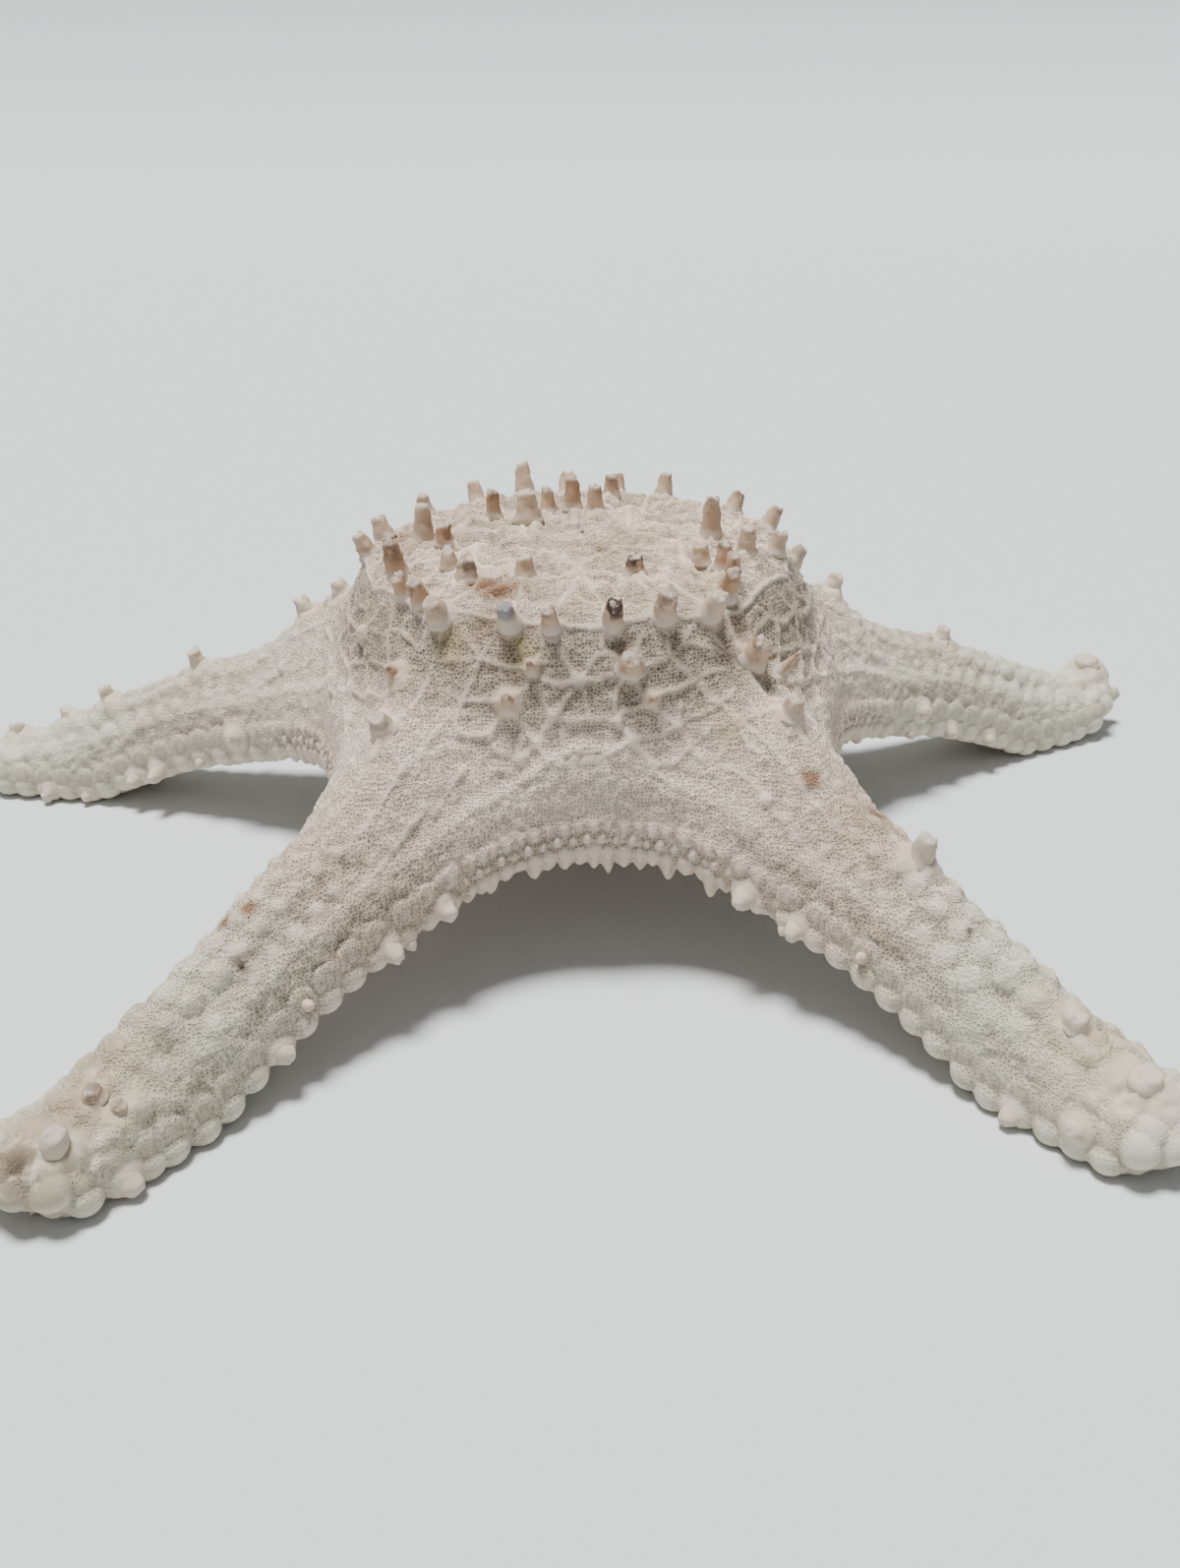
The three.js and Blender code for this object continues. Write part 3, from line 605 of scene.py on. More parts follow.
# Spines of the upper side, per arm: distance out, distance across, length, radius at the foot,
# tone (0 grey-white, 1 tan-brown, below 0 with a grey broken face) and how much black stain it carries
SPINES = {
    "front_right": [
        (25.5, -6, 3.2, 1.7, 0.5, 0.9), (29, 8, 3.6, 1.6, 0.3, 0), (31, 18.5, 5.4, 1.7, 0.4, 0),
        (34.5, 9, 5, 1.6, 0.7, 0), (39, 6.5, 5, 1.5, 0.7, 0.1), (42.5, 2, 5.4, 1.6, 0.85, 0.35),
        (38, -22, 6, 1.6, 0.5, 1.0), (41.5, -12.8, 5.6, 1.9, 0.35, 0.4), (44.5, -3.6, 5.2, 1.8, 0.25, 0),
        (42.8, -22, 3.2, 2.0, 0.55, 0), (46.6, -19.8, 1.9, 1.3, 0.6, 0), (50, 2, 5, 2.2, 0.6, 0.15),
        (51.5, 8.5, 6, 1.1, 0.55, 0), (61.5, 0.5, 3.6, 1.9, 0.45, 0.3), (93.5, 0, 5.2, 2, 0.1, 0.1),
        (127.5, -1.4, 2.2, 2, 0.1, 0), (141, -2, 3.8, 2.7, 0.0, 0),
    ],
    "front_left": [
        (29, -11, 3.6, 1.5, 0.3, 0), (33, -3.4, 3.8, 1.8, 0.2, 0.5), (26, 5.4, 4, 1.7, 0.3, 0),
        (44.7, -1, 4.8, 2, 0.25, 0.2), (42.2, 13.2, 5, 1.7, -1, 0.25), (39.2, 20.2, 4.6, 1.4, 0.5, 0),
        (42.5, -7, 4.6, 1.6, 0.8, 0), (41, -12.5, 4, 1.5, 0.7, 0.1), (36, -18, 7.2, 1.8, 0.9, 0.4),
        (44.2, 19.1, 2.4, 1.2, 0.5, 0), (48, 16.5, 3.0, 1.9, 0.6, 0), (50.6, -7.6, 3.2, 2, 0.6, 0),
        (62, -1, 3.4, 1.9, 0.3, 0.3), (132.5, 3, 1.8, 1.5, 0.8, 0.5), (131, 6.5, 1.5, 1.3, 0.4, 0.4),
        (141.5, 5.5, 4.2, 2.1, -0.7, 0.1),
    ],
    "back_left": [
        (22, -11.3, 5.4, 1.5, 0.8, 0.2), (13.4, -8.7, 5.8, 2.3, 0.2, 0), (31, 7.6, 7.2, 1.8, 0.4, 0),
        (25.5, 10, 4, 1.6, 1.0, 0.2), (41.5, 3.7, 4.4, 1.7, 0.3, 0), (41, 13.5, 4.6, 1.7, 0.5, 0),
        (39, -14.5, 4.2, 1.6, 0.4, 0.2), (54.5, 0, 3.4, 1.8, 0.2, 0), (63, 1, 3.2, 1.7, 0.2, 0),
        (91.3, 1, 4.2, 1.7, 0.2, 0), (116, 0.5, 3.8, 1.7, 0.2, 0), (127.5, 0, 2.2, 1.8, 0.1, 0),
        (142, 0, 3, 2, 0.1, 0), (1.2, -0.5, 1.6, 1.6, 0.0, 0.1),
    ],
    "back": [
        (40.5, 10.5, 7, 1.8, 0.3, 0), (20, 5.5, 4.6, 1.5, 0.5, 0), (21, 0, 6.8, 1.7, 0.8, 0.2),
        (17.5, -4.7, 5.4, 1.6, 0.5, 0), (31.4, -9.2, 4.6, 1.6, 0.4, 0.1), (43.6, 0.5, 5, 1.8, 0.4, 0),
        (41.5, -11, 4.4, 1.7, 0.6, 0.2), (37.5, 21.5, 4.6, 1.6, 0.4, 0), (36.5, -21.5, 5, 1.6, 0.5, 0),
        (53, 0, 4, 1.8, 0.4, 0), (64, 0.5, 3.2, 1.8, 0.3, 0.1), (92, -0.5, 4, 1.8, 0.2, 0),
        (117, 0, 3.4, 1.8, 0.2, 0), (141, 0, 3.4, 2.2, 0.1, 0),
    ],
    "back_right": [
        (26, -9.8, 8, 1.8, 0.5, 0.1), (35, -21.5, 4.2, 1.6, 0.4, 0), (43.8, -1, 4.6, 1.7, 0.4, 0),
        (41.6, 11.8, 4.4, 1.7, 0.5, 0.1), (50.5, 0, 5, 1.8, 0.1, 0.3), (62, 0, 3.6, 1.8, 0.1, 0),
        (95, 0, 3, 1.8, 0.1, 0), (144.5, -0.5, 4.6, 3.2, 0.0, 0),
    ],
}
# Blunt points standing out from the edge plates: distance out, side, row (1 upper, -1 lower), length, radius
EDGE_SPINES = {
    "front_right": [(68.6, -1, -1, 3, 2.2), (79, -1, -1, 2.6, 2), (124.7, -1, -1, 2.4, 2), (135.7, -1, 1, 2, 2.1)],
    "front_left": [(68.6, 1, -1, 2.6, 2), (80.2, 1, -1, 2.8, 2), (104, 1, -1, 2.2, 2), (134.5, 1, -1, 2.2, 2.2)],
    "back_left": [(77.2, 1, 1, 2.4, 2.3), (99.4, 1, -1, 3.6, 1.9), (129, 1, -1, 2.4, 1.9), (106, 1, -1, 2.4, 1.8)],
    "back": [(74, 1, -1, 2.6, 2), (98, -1, -1, 2.8, 2), (127, 1, 1, 2.2, 2)],
    "back_right": [(81.4, -1, 1, 2.2, 1.9), (104, -1, -1, 2.2, 1.8), (72, 1, -1, 2.6, 2), (91, -1, -1, 2.2, 1.8)],
}


def edge_stand(arm, s, side, row):
    """Foot of a point of the edge, and its axis, which leans a little up or down"""
    level, lean = (0.72, 0.35) if row > 0 else (0.3, -0.25)
    return edge_spot(arm, s, side, -0.4, level), unit(unit(outward(arm, s, side)) + np.array([0, 0, lean]))


def spine_stand(arm, s, y):
    """Foot of a spine on the upper side, and its axis, which leans from the skin towards upright"""
    def at(ds, dy):
        return place(arm, s + ds, y + dy, float(top_height(s + ds, y + dy)))
    square = np.cross(at(2.5, 0) - at(-2.5, 0), at(0, 2.5) - at(0, -2.5))
    return at(0, 0), unit(unit(square) + np.array([0, 0, 0.5]))


def is_cone(s, length):
    """The short spines of the flanks are low cones of skin with a small worn tip"""
    return length < 3.4 and 43 < s < 60


def on_arm(s, radius):
    """The spines of the arms stand on broad feet of skin and are paler; the thin thorn isn't one of them"""
    return s > 52 and radius > 1.2


flare, rosy = np.zeros(count), np.zeros(count)
for name, given in SPINES.items():
    for s, y, length, radius, tone, black in given:
        foot, _ = spine_stand(ARMS[name], s, y)
        cone = is_cone(s, length)
        reach, swell = radius * 1.9 + 1.2, min(1.5, length * 0.32, radius)
        if on_arm(s, radius):
            reach, swell = radius * 2.3 + 1.4, min(2.2, length * 0.55)
        elif cone:
            reach, swell = radius * 2.0, radius * 1.05
        for _, k, distance in tree.find_range(Vector(foot), reach):
            flare[k] = max(flare[k], swell * (1 - (distance / reach) ** 2) ** (1.6 if cone else 2.2))
            rosy[k] = max(rosy[k], (0.9 if cone else 0.5 * min(1, tone + 0.3)) * (1 - (distance / reach) ** 2))

for name, given in EDGE_SPINES.items():
    for s, side, row, length, radius in given:
        foot, _ = edge_stand(ARMS[name], s, side, row)
        set_bead(foot, radius * 1.9, 1.7, 1.2, 0.6)

# In the gaps the lower edge plates are drawn down into short blunt teeth
teeth = np.zeros(count)
for s, centre in tooth_roots:
    near = 1 - float(smooth(54, 80, s))
    if near > 0.05:
        low = centre - np.array([0, 0, 2.2])
        size = 1.8 + 0.7 * wobble(*centre * 0.9)
        raise_dome(teeth, low, size, near * max(0.3, 2.3 + 4.0 * wobble(*centre * 1.7)), 1.1)

# Raising it all: ridges stand, pored skin sinks and waves a little between them
waves, lumps, grain = (np.array([noise.noise(p) for p in points * fine]) for fine in (0.16, 0.42, 1.1))
inner = 1 - smooth(92, 125, where_s)
skin_depth = mix(0.3, 0.75, inner) * sunk * mix(0.55, 1, smooth(38, 49, points[:, 2]))
rough = upper_side * (1 - smooth(38, 44, np.hypot(where_s, where_y)))
rise = upper_side * (knobs + flare - skin_depth * (1 - np.clip(knobs, 0, 1) * 0.6))
rise = rise + (0.42 * waves + 0.45 * lumps * upper_side + 0.2 * grain) * mix(0.5, 1, upper_side)
rise = rise + rough * (0.8 * lumps + 0.35 * grain + 1.0 * waves) + 0.5 * lumps * smooth(128, 138, where_s)
level_side = smooth(0.75, 0.35, np.abs(normals[:, 2]))
rise = np.maximum(rise - 0.35 * level_side, beads - 0.35)
paved = smooth(0.2, 0.7, -normals[:, 2]) * (beads < -5)
rise = rise + pavement * paved
final = points + normals * rise[:, None]
final[:, 2] = np.maximum(final[:, 2] - teeth, 0.05)
skin.data.vertices.foreach_set("co", (final * MM).ravel())
pick(skin)
bpy.ops.object.shade_smooth()


def attach(piece, name, values):
    layer = piece.data.attributes.new(name, "FLOAT", "POINT")
    layer.data.foreach_set("value", np.asarray(values, np.float32))


# What the skin's material follows, painted shade and painted light among it. Pored skin shows between the ridges and
# thins out towards the tips;
# stains lie where the photo has them: distance out, distance across, size and strength.
back_arms = np.array([0, 0, 0.6, 0.8, 1.0])[which_arm] * smooth(50, 72, where_s)
pored = smooth(0.33, 0.8, sunk) * np.maximum(upper_side, 0.75 * level_side) * (1 - smooth(0.3, 0.85, bead_mask))
for less, where in (
    (0.65, smooth(0.12, mix(0.3, 0.75, 1 - inner), knobs)), (0.5, smooth(115, 140, where_s)), (0.3, rough),
    (0.65, back_arms), (1, np.clip(flare * 1.2, 0, 1)),
):
    pored = pored * (1 - less * where)
STAINS = {
    "brown": {
        "front_left": [
            (33.4, 2.8, 4.2, 1.5), (42.5, 9, 4, 0.6), (98, 0.6, 1.6, 1.3), (101, -2, 1.8, 1.1), (104.6, 5.6, 2, 0.5),
            (117, -4, 2, 1), (121, -5, 1.6, 1), (138, 1, 7, 0.5), (128, -2, 5, 0.4), (149, 3, 6, 0.8),
        ],
        "front_right": [(71, -3.6, 2.2, 1.2), (81.7, 2.8, 2.6, 0.9), (36, -14, 4, 0.35), (82, 0, 8, 0.35)],
        "back_left": [(38, 6, 7, 0.4)],
        "back": [(24, 3, 6, 0.4), (60, -6, 10, 0.35)],
        "back_right": [(46, 2, 7, 0.3), (88, 3, 9, 0.3)],
    },
    "olive": {
        "front_left": [(47, 3, 3.6, 1), (43.6, 16.6, 3.2, 1), (128, 2, 14, 0.4), (144, 5, 8, 0.5)],
        "front_right": [(56, -9.6, 4.2, 0.7), (36, 4, 4, 0.5), (132, 0, 12, 0.5)],
        "back_left": [(60, -5, 6, 0.4)],
        "back": [(50, 8, 5, 0.6)],
    },
    "black": {
        "front_left": [(147, 5, 4.6, 0.75), (151, 1, 5, 1), (120, 4, 2.2, 0.5), (104.6, 5.6, 0.8, 1)],
        "front_right": [(107, -3, 0.7, 0.9), (96, 5, 0.8, 0.7), (81.7, 2.8, 1, 0.6)],
    },
}
for stain, arms in STAINS.items():
    amount = np.zeros(count)
    for name, spots in arms.items():
        for s, y, size, strength in spots:
            middle = place(ARMS[name], s, y, float(top_height(s, y)))
            amount = np.maximum(amount, strength * np.exp(-(np.linalg.norm(points - middle, axis=1) / size) ** 2))
    attach(skin, stain, amount)
attach(skin, "pored", pored)
attach(skin, "rosy", rosy * upper_side)
attach(skin, "smooth_plate", np.clip(np.maximum(smooth(0.1, 0.7, bead_mask), knobs * 0.8 * upper_side), 0, 1))
# Painted shade, kept as "deep": the crevices between the edge beads, the sunk pored panels, the gaps between the
# plates of the underside and a band of the upper flank are darkened
seam_shade = 0.9 * level_side * (1 - smooth(0.1, 0.9, beads)) * smooth(0.2, 0.6, bead_mask + beads)
hollow_shade = np.maximum.reduce([(-rise - 0.2) / 0.95, (0.5 - pavement) * 1.3 * paved, seam_shade])
# Painted light: the low skin of the gaps faces up to the light, so it is painted lighter and given less painted
# shade
low_gap = 0.9 * smooth(56, 46, points[:, 2]) * upper_side * (1 - smooth(60, 80, where_s))
shaded = smooth(50, 56, points[:, 2]) * smooth(69, 65, points[:, 2]) * upper_side
attach(skin, "deep", np.clip(hollow_shade, 0, 1) * (1 - 0.75 * low_gap) + 0.36 * shaded)
attach(skin, "outer", np.maximum(smooth(76, 118, where_s), back_arms))
attach(skin, "low_gap", low_gap)
attach(skin, "crown", rough)
# How far a face turns downward, for the painted shade of the underside
attach(skin, "below", smooth(0.1, 0.7, -normals[:, 2]))
attach(skin, "arm", which_arm)


class Paint:
    """A socket of a material; sums written with it are worked out by Math nodes"""

    def __init__(self, nodes, socket=None):
        self.nodes, self.socket = nodes, socket

    def node(self, kind, inputs, output=0, **settings):
        made = self.nodes.nodes.new(kind)
        for key, value in settings.items():
            setattr(made, key, value)
        for key, value in inputs.items():
            if isinstance(value, Paint):
                self.nodes.links.new(value.socket, made.inputs[key])
            else:
                made.inputs[key].default_value = value
        return Paint(self.nodes, made.outputs[output])

    def sum(self, operation, a, b):
        return self.node("ShaderNodeMath", {0: a, 1: b}, operation=operation)

    def __add__(self, other):
        return self.sum("ADD", self, other)

    def __sub__(self, other):
        return self.sum("SUBTRACT", self, other)

    def __mul__(self, other):
        return self.sum("MULTIPLY", self, other)

    def __rsub__(self, other):
        return self.sum("SUBTRACT", other, self)

    __radd__ = __add__

    def step(self, low, high):
        return self.node(
            "ShaderNodeMapRange", {"Value": self, "From Min": low, "From Max": high},
            interpolation_type="SMOOTHSTEP",
        )

    def blend(self, colour_a, colour_b):
        solid = [(*c, 1) if isinstance(c, tuple) else c for c in (colour_a, colour_b)]
        return self.node(
            "ShaderNodeMix", {0: self, 6: solid[0], 7: solid[1]}, output=2, data_type="RGBA", clamp_factor=True,
        )

    def clouds(self, at, scale, detail, roughness):
        inputs = {"Vector": at, "Scale": scale, "Detail": detail, "Roughness": roughness}
        return self.node("ShaderNodeTexNoise", inputs)

    def masks(self, names):
        """The values that are kept on a piece's points, by name"""
        return {key: self.node("ShaderNodeAttribute", {}, output=2, attribute_name=key) for key in names}


def new_material(name):
    material = bpy.data.materials.new(name)
    material.use_nodes = True
    shader = material.node_tree.nodes["Principled BSDF"]
    return material, shader, Paint(material.node_tree)


def finish_material(material, shader, shine, colour, roughness, bump):
    shader.inputs["Specular IOR Level"].default_value = shine
    for socket, value in (("Base Color", colour), ("Roughness", roughness), ("Normal", bump)):
        material.node_tree.links.new(value.socket, shader.inputs[socket])


def coat(piece, material):
    piece.data.materials.clear()
    piece.data.materials.append(material)


lime, shader, paint = new_material("dried_lime_skin")
at = paint.node("ShaderNodeTexCoord", {}, output=3)
mask = paint.masks(("pored", "smooth_plate", "deep", "outer", "low_gap", "below", "crown", "rosy", *STAINS))
patchy = paint.clouds(at, 45.0, 4.0, 0.6)
mottle = paint.clouds(at, 210.0, 5.0, 0.65)
speck = paint.clouds(at, 1500.0, 3.0, 0.7)
cells = paint.node(
    "ShaderNodeTexVoronoi", {"Vector": at, "Scale": 1450.0, "Randomness": 0.7}, feature="DISTANCE_TO_EDGE",
)
pit = cells.step(0.11, 0.27) * mask["pored"]
cream = patchy.step(0.35, 0.65).blend((0.64, 0.52, 0.405), (0.68, 0.58, 0.47))
# Painted light: the top of the disc, which faces the light overhead, is painted lighter, in a warmer tint
crown_lit = (mask["crown"] * 0.85).blend(cream, (0.84, 0.69, 0.55))
warm = mask["outer"].blend(crown_lit, (0.68, 0.645, 0.515))
# Painted light on the low skin of the gaps, which faces up to the light
low_gap_lit = (mask["low_gap"] * 0.8).blend(warm, (0.84, 0.72, 0.60))
crust = (patchy * 0.6 + mottle * 0.4).step(0.48, 0.58)
crusty = (mask["crown"] * crust * 0.75).blend(low_gap_lit, (0.47, 0.345, 0.25))
blotch = (mottle.step(0.5, 0.75) * 0.25).blend(crusty, (0.46, 0.35, 0.26))
grimy = (mottle.step(0.42, 0.62) * patchy.step(0.4, 0.6) * mask["outer"] * 0.3).blend(blotch, (0.45, 0.385, 0.27))
# Painted shade: faces turned downward are painted darker
below = (mask["below"] * 0.4).blend(grimy, (0.52, 0.41, 0.29))
ridge = ((1 - mask["pored"]) * 0.15).blend(below, (0.57, 0.49, 0.41))
plate = (mask["smooth_plate"] * 0.15).blend(ridge, (0.70, 0.65, 0.57))
rose = (mask["rosy"] * 0.8).blend(plate, (0.62, 0.44, 0.32))
# Painted shade in the hollows, the seams and the flank band kept as "deep"
recess_shade = (mask["deep"] * 0.65).blend(rose, (0.36, 0.29, 0.225))
olive = (mask["olive"] * mottle.step(0.25, 0.5)).blend(recess_shade, (0.40, 0.315, 0.17))
brown = (mask["brown"] * mottle.step(0.28, 0.48)).blend(olive, (0.30, 0.175, 0.105))
# Painted shade inside the pores, darker in the painted-shade hollows and a little lighter on the outer arms
pore_shade = (pit * (0.42 + mask["deep"] * 0.35 - mask["outer"] * 0.16)).blend(brown, (0.15, 0.12, 0.095))
black = (mask["black"] * mottle.step(0.35, 0.5)).blend(pore_shade, (0.035, 0.028, 0.025))
dusty = (speck.step(0.62, 0.8) * 0.18).blend(black, (0.78, 0.75, 0.71))
relief = speck * 0.2 + mottle * 0.35 - pit * 0.8
bump = paint.node("ShaderNodeBump", {"Height": relief, "Strength": 1.0, "Distance": 0.0005})
finish_material(lime, shader, 0.25, dusty, 0.82 + pit * 0.1 - mask["smooth_plate"] * 0.12, bump)

# The skin is cut into one piece per arm. Each keeps the whole skin's normals, so no seam shows.
skin.data.materials.clear()
for _ in ARMS:
    skin.data.materials.append(lime)
lay = skin.data.attributes.new("lie", "FLOAT_VECTOR", "POINT")
skin.data.update()
lay.data.foreach_set("vector", read(skin.data.vertices, "normal").ravel())
corners = np.empty(len(skin.data.loops), int)
skin.data.loops.foreach_get("vertex_index", corners)
starts = np.empty(len(skin.data.polygons), int)
skin.data.polygons.foreach_get("loop_start", starts)
skin.data.polygons.foreach_set("material_index", which_arm[corners[starts]])
bpy.ops.object.mode_set(mode="EDIT")
bpy.ops.mesh.separate(type="MATERIAL")
bpy.ops.object.mode_set(mode="OBJECT")
for part in list(bpy.context.selected_objects):
    owner = np.empty(len(part.data.vertices), np.float32)
    part.data.attributes["arm"].data.foreach_get("value", owner)
    name = list(ARMS)[int(np.median(owner))]
    part.name = part.data.name = "skin_" + name
    coat(part, lime)
    part.data.normals_split_custom_set_from_vertices(read(part.data.attributes["lie"].data, "vector"))
    part.data.attributes.remove(part.data.attributes["lie"])
    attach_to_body(part, "root")
    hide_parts("starfish")


def round_blank(segments, rings):
    """A ball that is formed anew, with the heights of its points and their turns round its axis"""
    bpy.ops.mesh.primitive_uv_sphere_add(segments=segments, ring_count=rings, radius=1)
    blank = bpy.context.object
    x, y, z = read(blank.data.vertices, "co").T
    return blank, z, np.arctan2(y, x)


# Spines: blunt tapered pegs of lime fused to the plates, most with broken flat ends. They are tan to
# pinkish, with chalky ends, and some are stained brown or black.
RING_COUNT = 12
peg, peg_z, peg_turn = round_blank(16, RING_COUNT)
peg_ring = np.rint(np.arccos(np.clip(peg_z, -1, 1)) / math.pi * RING_COUNT)
PEG_HEIGHT = [0.97, 1.0, 0.985, 0.93, 0.83, 0.70, 0.55, 0.40, 0.26, 0.12, 0.0, -0.12, -0.25]
PEG_RADIUS = [0.0, 0.40, 0.64, 0.74, 0.79, 0.84, 0.89, 0.95, 1.02, 1.10, 1.22, 1.3, 0.0]
WORN_RADIUS = [0.0, 0.24, 0.42, 0.54, 0.66, 0.78, 0.88, 0.98, 1.08, 1.2, 1.32, 1.4, 0.0]
stands = []
for name, given in SPINES.items():
    for s, y, length, radius, tone, black_share in given:
        cone = is_cone(s, length)
        stands.append((
            *spine_stand(ARMS[name], s, y), length, radius * (0.55 if cone else 1),
            tone * (0.35 if on_arm(s, radius) else 1), black_share, cone,
        ))
for name, given in EDGE_SPINES.items():
    for s, side, row, length, radius in given:
        stands.append((*edge_stand(ARMS[name], s, side, row), length + 0.5, radius * 0.85, 0.0, 0.0, True))
blunt_end = ARMS["back_right"]
root, beyond = place(blunt_end, 147.5, -3.0, 3.4), place(blunt_end, 151.5, -3.4, 3.4)
stands.append((root, unit(beyond - root), 6.2, 2.4, 0.0, 0.0, True))


def stand_copy(original, foot, axis, lean, up, out, turn):
    """A copy of a round peg, stood on its foot: up and out are the height and width of each of its points"""
    side = unit(np.cross(axis, lean))
    other = np.cross(axis, side)
    placed = foot + axis * up[:, None]
    placed = placed + side * (out * np.cos(turn))[:, None] + other * (out * np.sin(turn))[:, None]
    placed[:, 2] = np.maximum(placed[:, 2], 0.1)
    one = original.copy()
    one.data = original.data.copy()
    bpy.context.collection.objects.link(one)
    one.data.vertices.foreach_set("co", (placed * MM).ravel())
    return one


pegs = []
for number, (foot, axis, length, radius, tone, black_share, worn) in enumerate(stands):
    seed = Vector(foot * 0.7)
    height = np.interp(peg_ring, range(RING_COUNT + 1), PEG_HEIGHT)
    width = np.interp(peg_ring, range(RING_COUNT + 1), WORN_RADIUS if worn else PEG_RADIUS)
    ragged = np.array([
        noise.noise(seed + Vector((math.cos(a) * 1.3, math.sin(a) * 1.3, h * length * 0.8)))
        for a, h in zip(peg_turn, height)
    ])
    slope = noise.noise(seed * 0.7) * 0.5
    top = smooth(0.8, 1.0, height)
    height = height * length + (0.3 if worn else 1) * top * (
        ragged * 0.9 + slope * width * radius * np.cos(peg_turn + number)
    )
    thorn = 1 - 0.7 * np.clip(height / length, 0, 1) if radius < 1.2 and not worn else 1
    width = width * radius * (1.14 + 0.28 * ragged) * thorn
    one = stand_copy(peg, foot, axis, [0.3, 1.0, 0.2], height, width, peg_turn)
    attach(one, "up_peg", np.clip(height / length, 0, 1))
    attach(one, "tone", np.full(len(width), tone))
    attach(one, "stained", np.full(len(width), black_share))
    pegs.append(one)
bpy.data.objects.remove(peg)
spines = joined(pegs, "spines")
bpy.ops.object.shade_smooth()

horn, shader, paint = new_material("spine_lime")
at = paint.node("ShaderNodeTexCoord", {}, output=3)
up, tone, stained = paint.masks(("up_peg", "tone", "stained")).values()
mottle = paint.clouds(at, 420.0, 4.0, 0.6)
streak = paint.clouds(at, 900.0, 4.0, 0.7)
shaft = (tone.step(0.0, 1.0) * 0.9).blend((0.585, 0.46, 0.345), (0.45, 0.275, 0.165))
pale = (tone.step(0.2, 0.0) * 0.7).blend(shaft, (0.62, 0.545, 0.44))
rosy = (mottle.step(0.4, 0.7) * (tone.step(0.0, 0.3) * 0.5)).blend(pale, (0.60, 0.42, 0.30))
umber = (tone.step(0.0, 1.0) * mottle.step(0.52, 0.62) * 0.7).blend(rosy, (0.20, 0.11, 0.07))
chalk = (up.step(0.88, 0.97) * 0.7).blend(umber, (0.60, 0.53, 0.45))
broken = (tone.step(0.0, -1.0) * up.step(0.45, 0.75)).blend(chalk, (0.31, 0.30, 0.30))
dark_rim = up.step(0.66, 0.86) * mottle.step(0.46, 0.62) * tone.step(0.15, 0.5)
rim = (dark_rim * 0.75).blend(broken, (0.22, 0.135, 0.09))
sooty = (stained * (mottle.step(0.42, 0.5) * up.step(0.25, 0.6))).blend(rim, (0.075, 0.045, 0.04))
foot_fade = (1 - up.step(0.0, 0.35)).blend(sooty, (0.57, 0.49, 0.41))
bump = paint.node("ShaderNodeBump", {"Height": streak * 0.6 + mottle, "Strength": 0.5, "Distance": 0.0003})
finish_material(horn, shader, 0.35, foot_fade, 0.72 + mottle * 0.2, bump)
coat(spines, horn)
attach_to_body(spines, "root")

# Points of the edge and of the grooves: small cones, one on each lower edge plate, which shrink to
# knobs along the arms, and a row on either side of each groove.
barb, barb_z, barb_turn = round_blank(8, 6)
barb_up = (barb_z + 1) / 2
barb_width = np.sqrt(np.clip(1 - barb_z**2, 0, 1)) * (1.25 - 0.75 * barb_up)
barbs = []


def set_barb(foot, axis, length, radius):
    height = barb_up * length * 1.3 - length * 0.3
    barbs.append(stand_copy(barb, foot, unit(axis), [0.3, 0.2, 1.0], height, barb_width * radius, barb_turn))


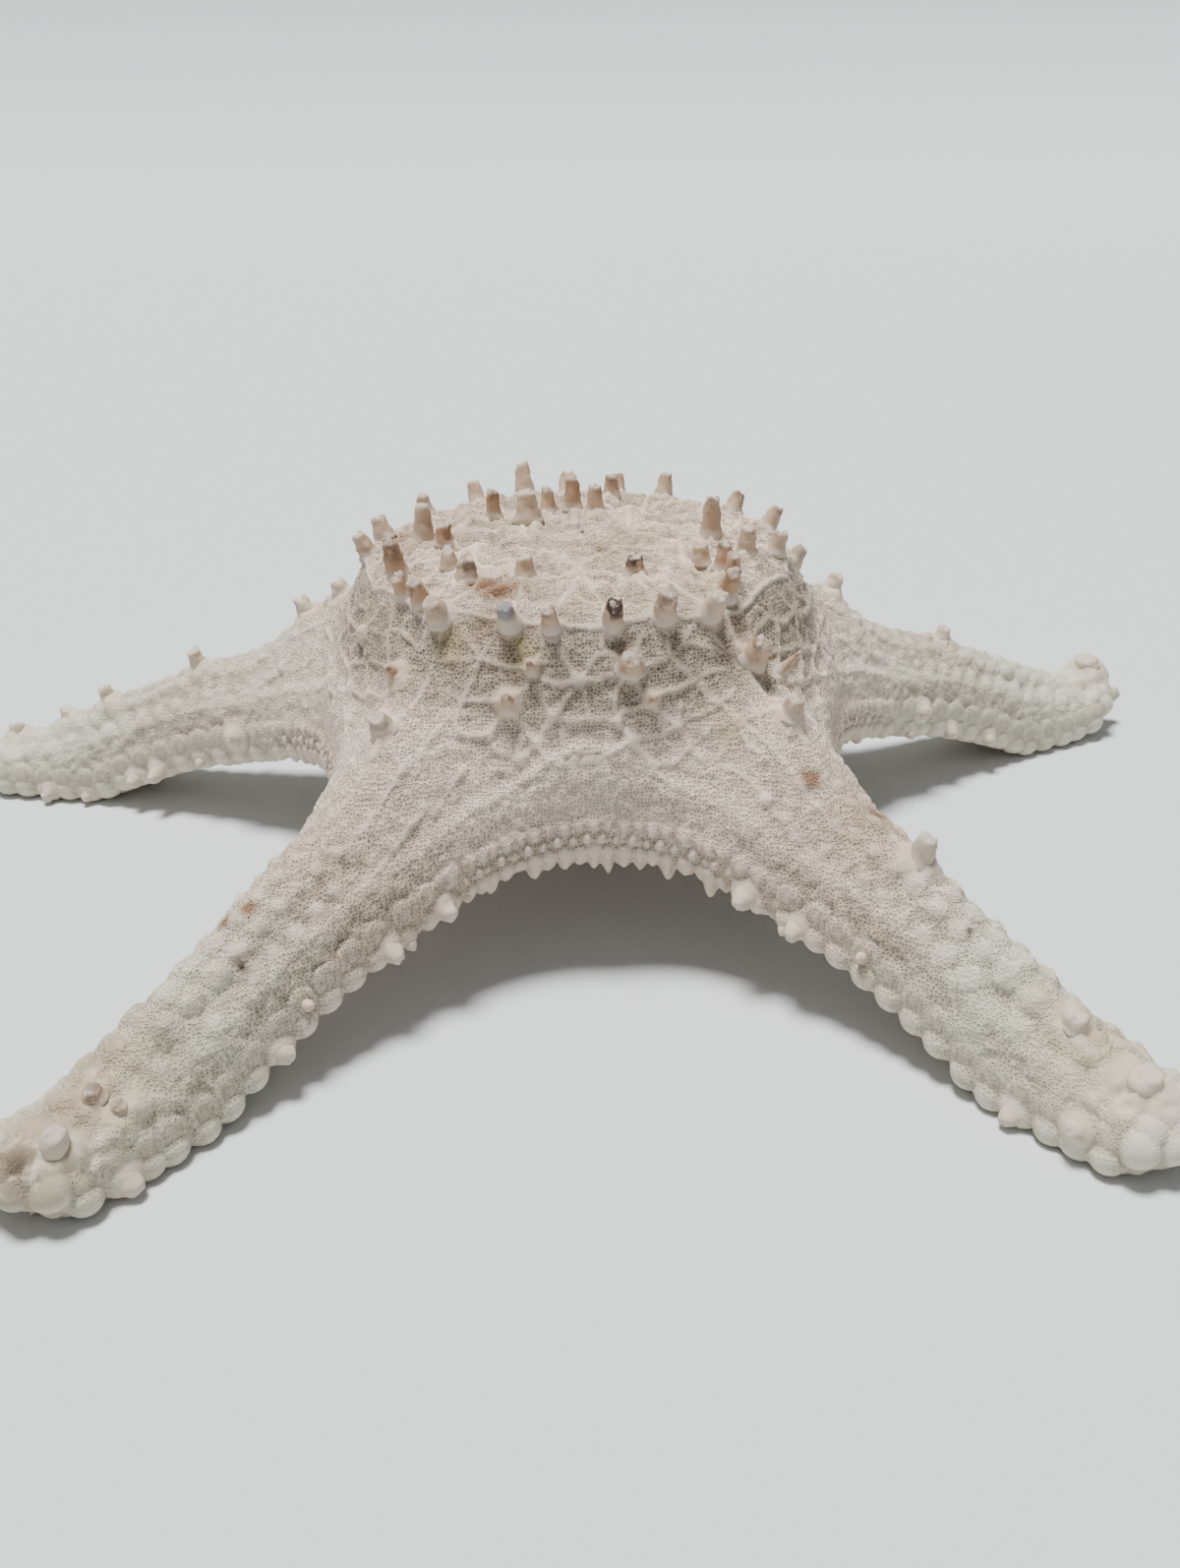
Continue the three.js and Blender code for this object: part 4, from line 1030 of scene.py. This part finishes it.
for arm, s, side, row, centre in edge_plates:
    out = outward(arm, s, side)
    chance = wobble(s * 0.9, side * 3.0, arm["degrees"] + row * 9.0)
    near = 1 - float(smooth(56, 90, s))
    if row < 0 and near < 0.45 and chance > mix(0.4, -0.2, near * 2):
        lean = np.array([0, 0, -1.5 * near - 0.15])
        foot = centre + out * mix(1.3, 0.3, near) + np.array([0, 0, -2.6 * near])
        set_barb(foot, out + lean, 1.4 + 1.5 * near + 0.6 * chance, mix(1.2, 1.45, near) + 0.4 * chance)
    elif row > 0 and chance > 0.42:
        set_barb(centre + out * 1.6, out + np.array([0, 0, 0.35]), 1.3 + chance, 1.2)
for arm in ARMS.values():
    for side in (-1, 1):
        for s in np.arange(12.0, 146, 2.9):
            drop = belly_level(s)
            foot = place(arm, s, side * (GROOVE_HALF_WIDTH - 0.2), drop - 0.2)
            inward = place(arm, s, side * 1.0, drop) - foot
            set_barb(foot, np.array([inward[0], inward[1], -2.2 * np.linalg.norm(inward[:2])]), 2.2, 0.62)
bpy.data.objects.remove(barb)
edge_points = joined(barbs, "edge_points")
bpy.ops.object.shade_smooth()
coat(edge_points, lime)
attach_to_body(edge_points, "root")

# The studio: a pale sheet that curves up behind, a broad soft light overhead and a weaker one in front
SHEET_DEPTH, SHEET_FLAT, SHEET_BEND, SHEET_FRONT = 5.2, 3.4, 0.9, -1.6
bpy.ops.mesh.primitive_grid_add(x_subdivisions=2, y_subdivisions=48, size=2)
sheet = bpy.context.object
sheet.name = "floor"
for vertex in sheet.data.vertices:
    run = (vertex.co.y + 1) / 2 * SHEET_DEPTH
    bend = min(max(run - SHEET_FLAT, 0), SHEET_BEND * math.pi / 2) / SHEET_BEND
    rest = max(run - SHEET_FLAT - SHEET_BEND * math.pi / 2, 0)
    vertex.co.x *= 3
    vertex.co.y = SHEET_FRONT + min(run, SHEET_FLAT) + SHEET_BEND * math.sin(bend)
    vertex.co.z = SHEET_BEND * (1 - math.cos(bend)) + rest
bpy.ops.object.shade_smooth()
pale_sheet, shader, _ = new_material("pale_sheet")
shader.inputs["Base Color"].default_value = (0.66, 0.69, 0.71, 1)
shader.inputs["Roughness"].default_value = 0.9
coat(sheet, pale_sheet)
for name, direction, strength, spread, tint in (
    ("overhead", (-0.22, 0.12, 1.55), 6.25, 18, (1.0, 0.985, 0.955)),
    ("front", (-0.5, -1.5, 1.0), 0.14, 80, (0.94, 0.97, 1.0)),
):
    glow = bpy.data.lights.new(name, "SUN")
    glow.energy, glow.angle, glow.color = strength, math.radians(spread), tint
    lamp = bpy.data.objects.new(name, glow)
    bpy.context.collection.objects.link(lamp)
    lamp.location = direction
    lamp.rotation_euler = Vector(direction).to_track_quat("Z", "Y").to_euler()
world = bpy.data.worlds.new("studio")
world.use_nodes = True
sky = world.node_tree.nodes["Background"].inputs
sky["Color"].default_value = (0.90, 0.95, 1.0, 1)
sky["Strength"].default_value = 0.22
bpy.context.scene.world = world
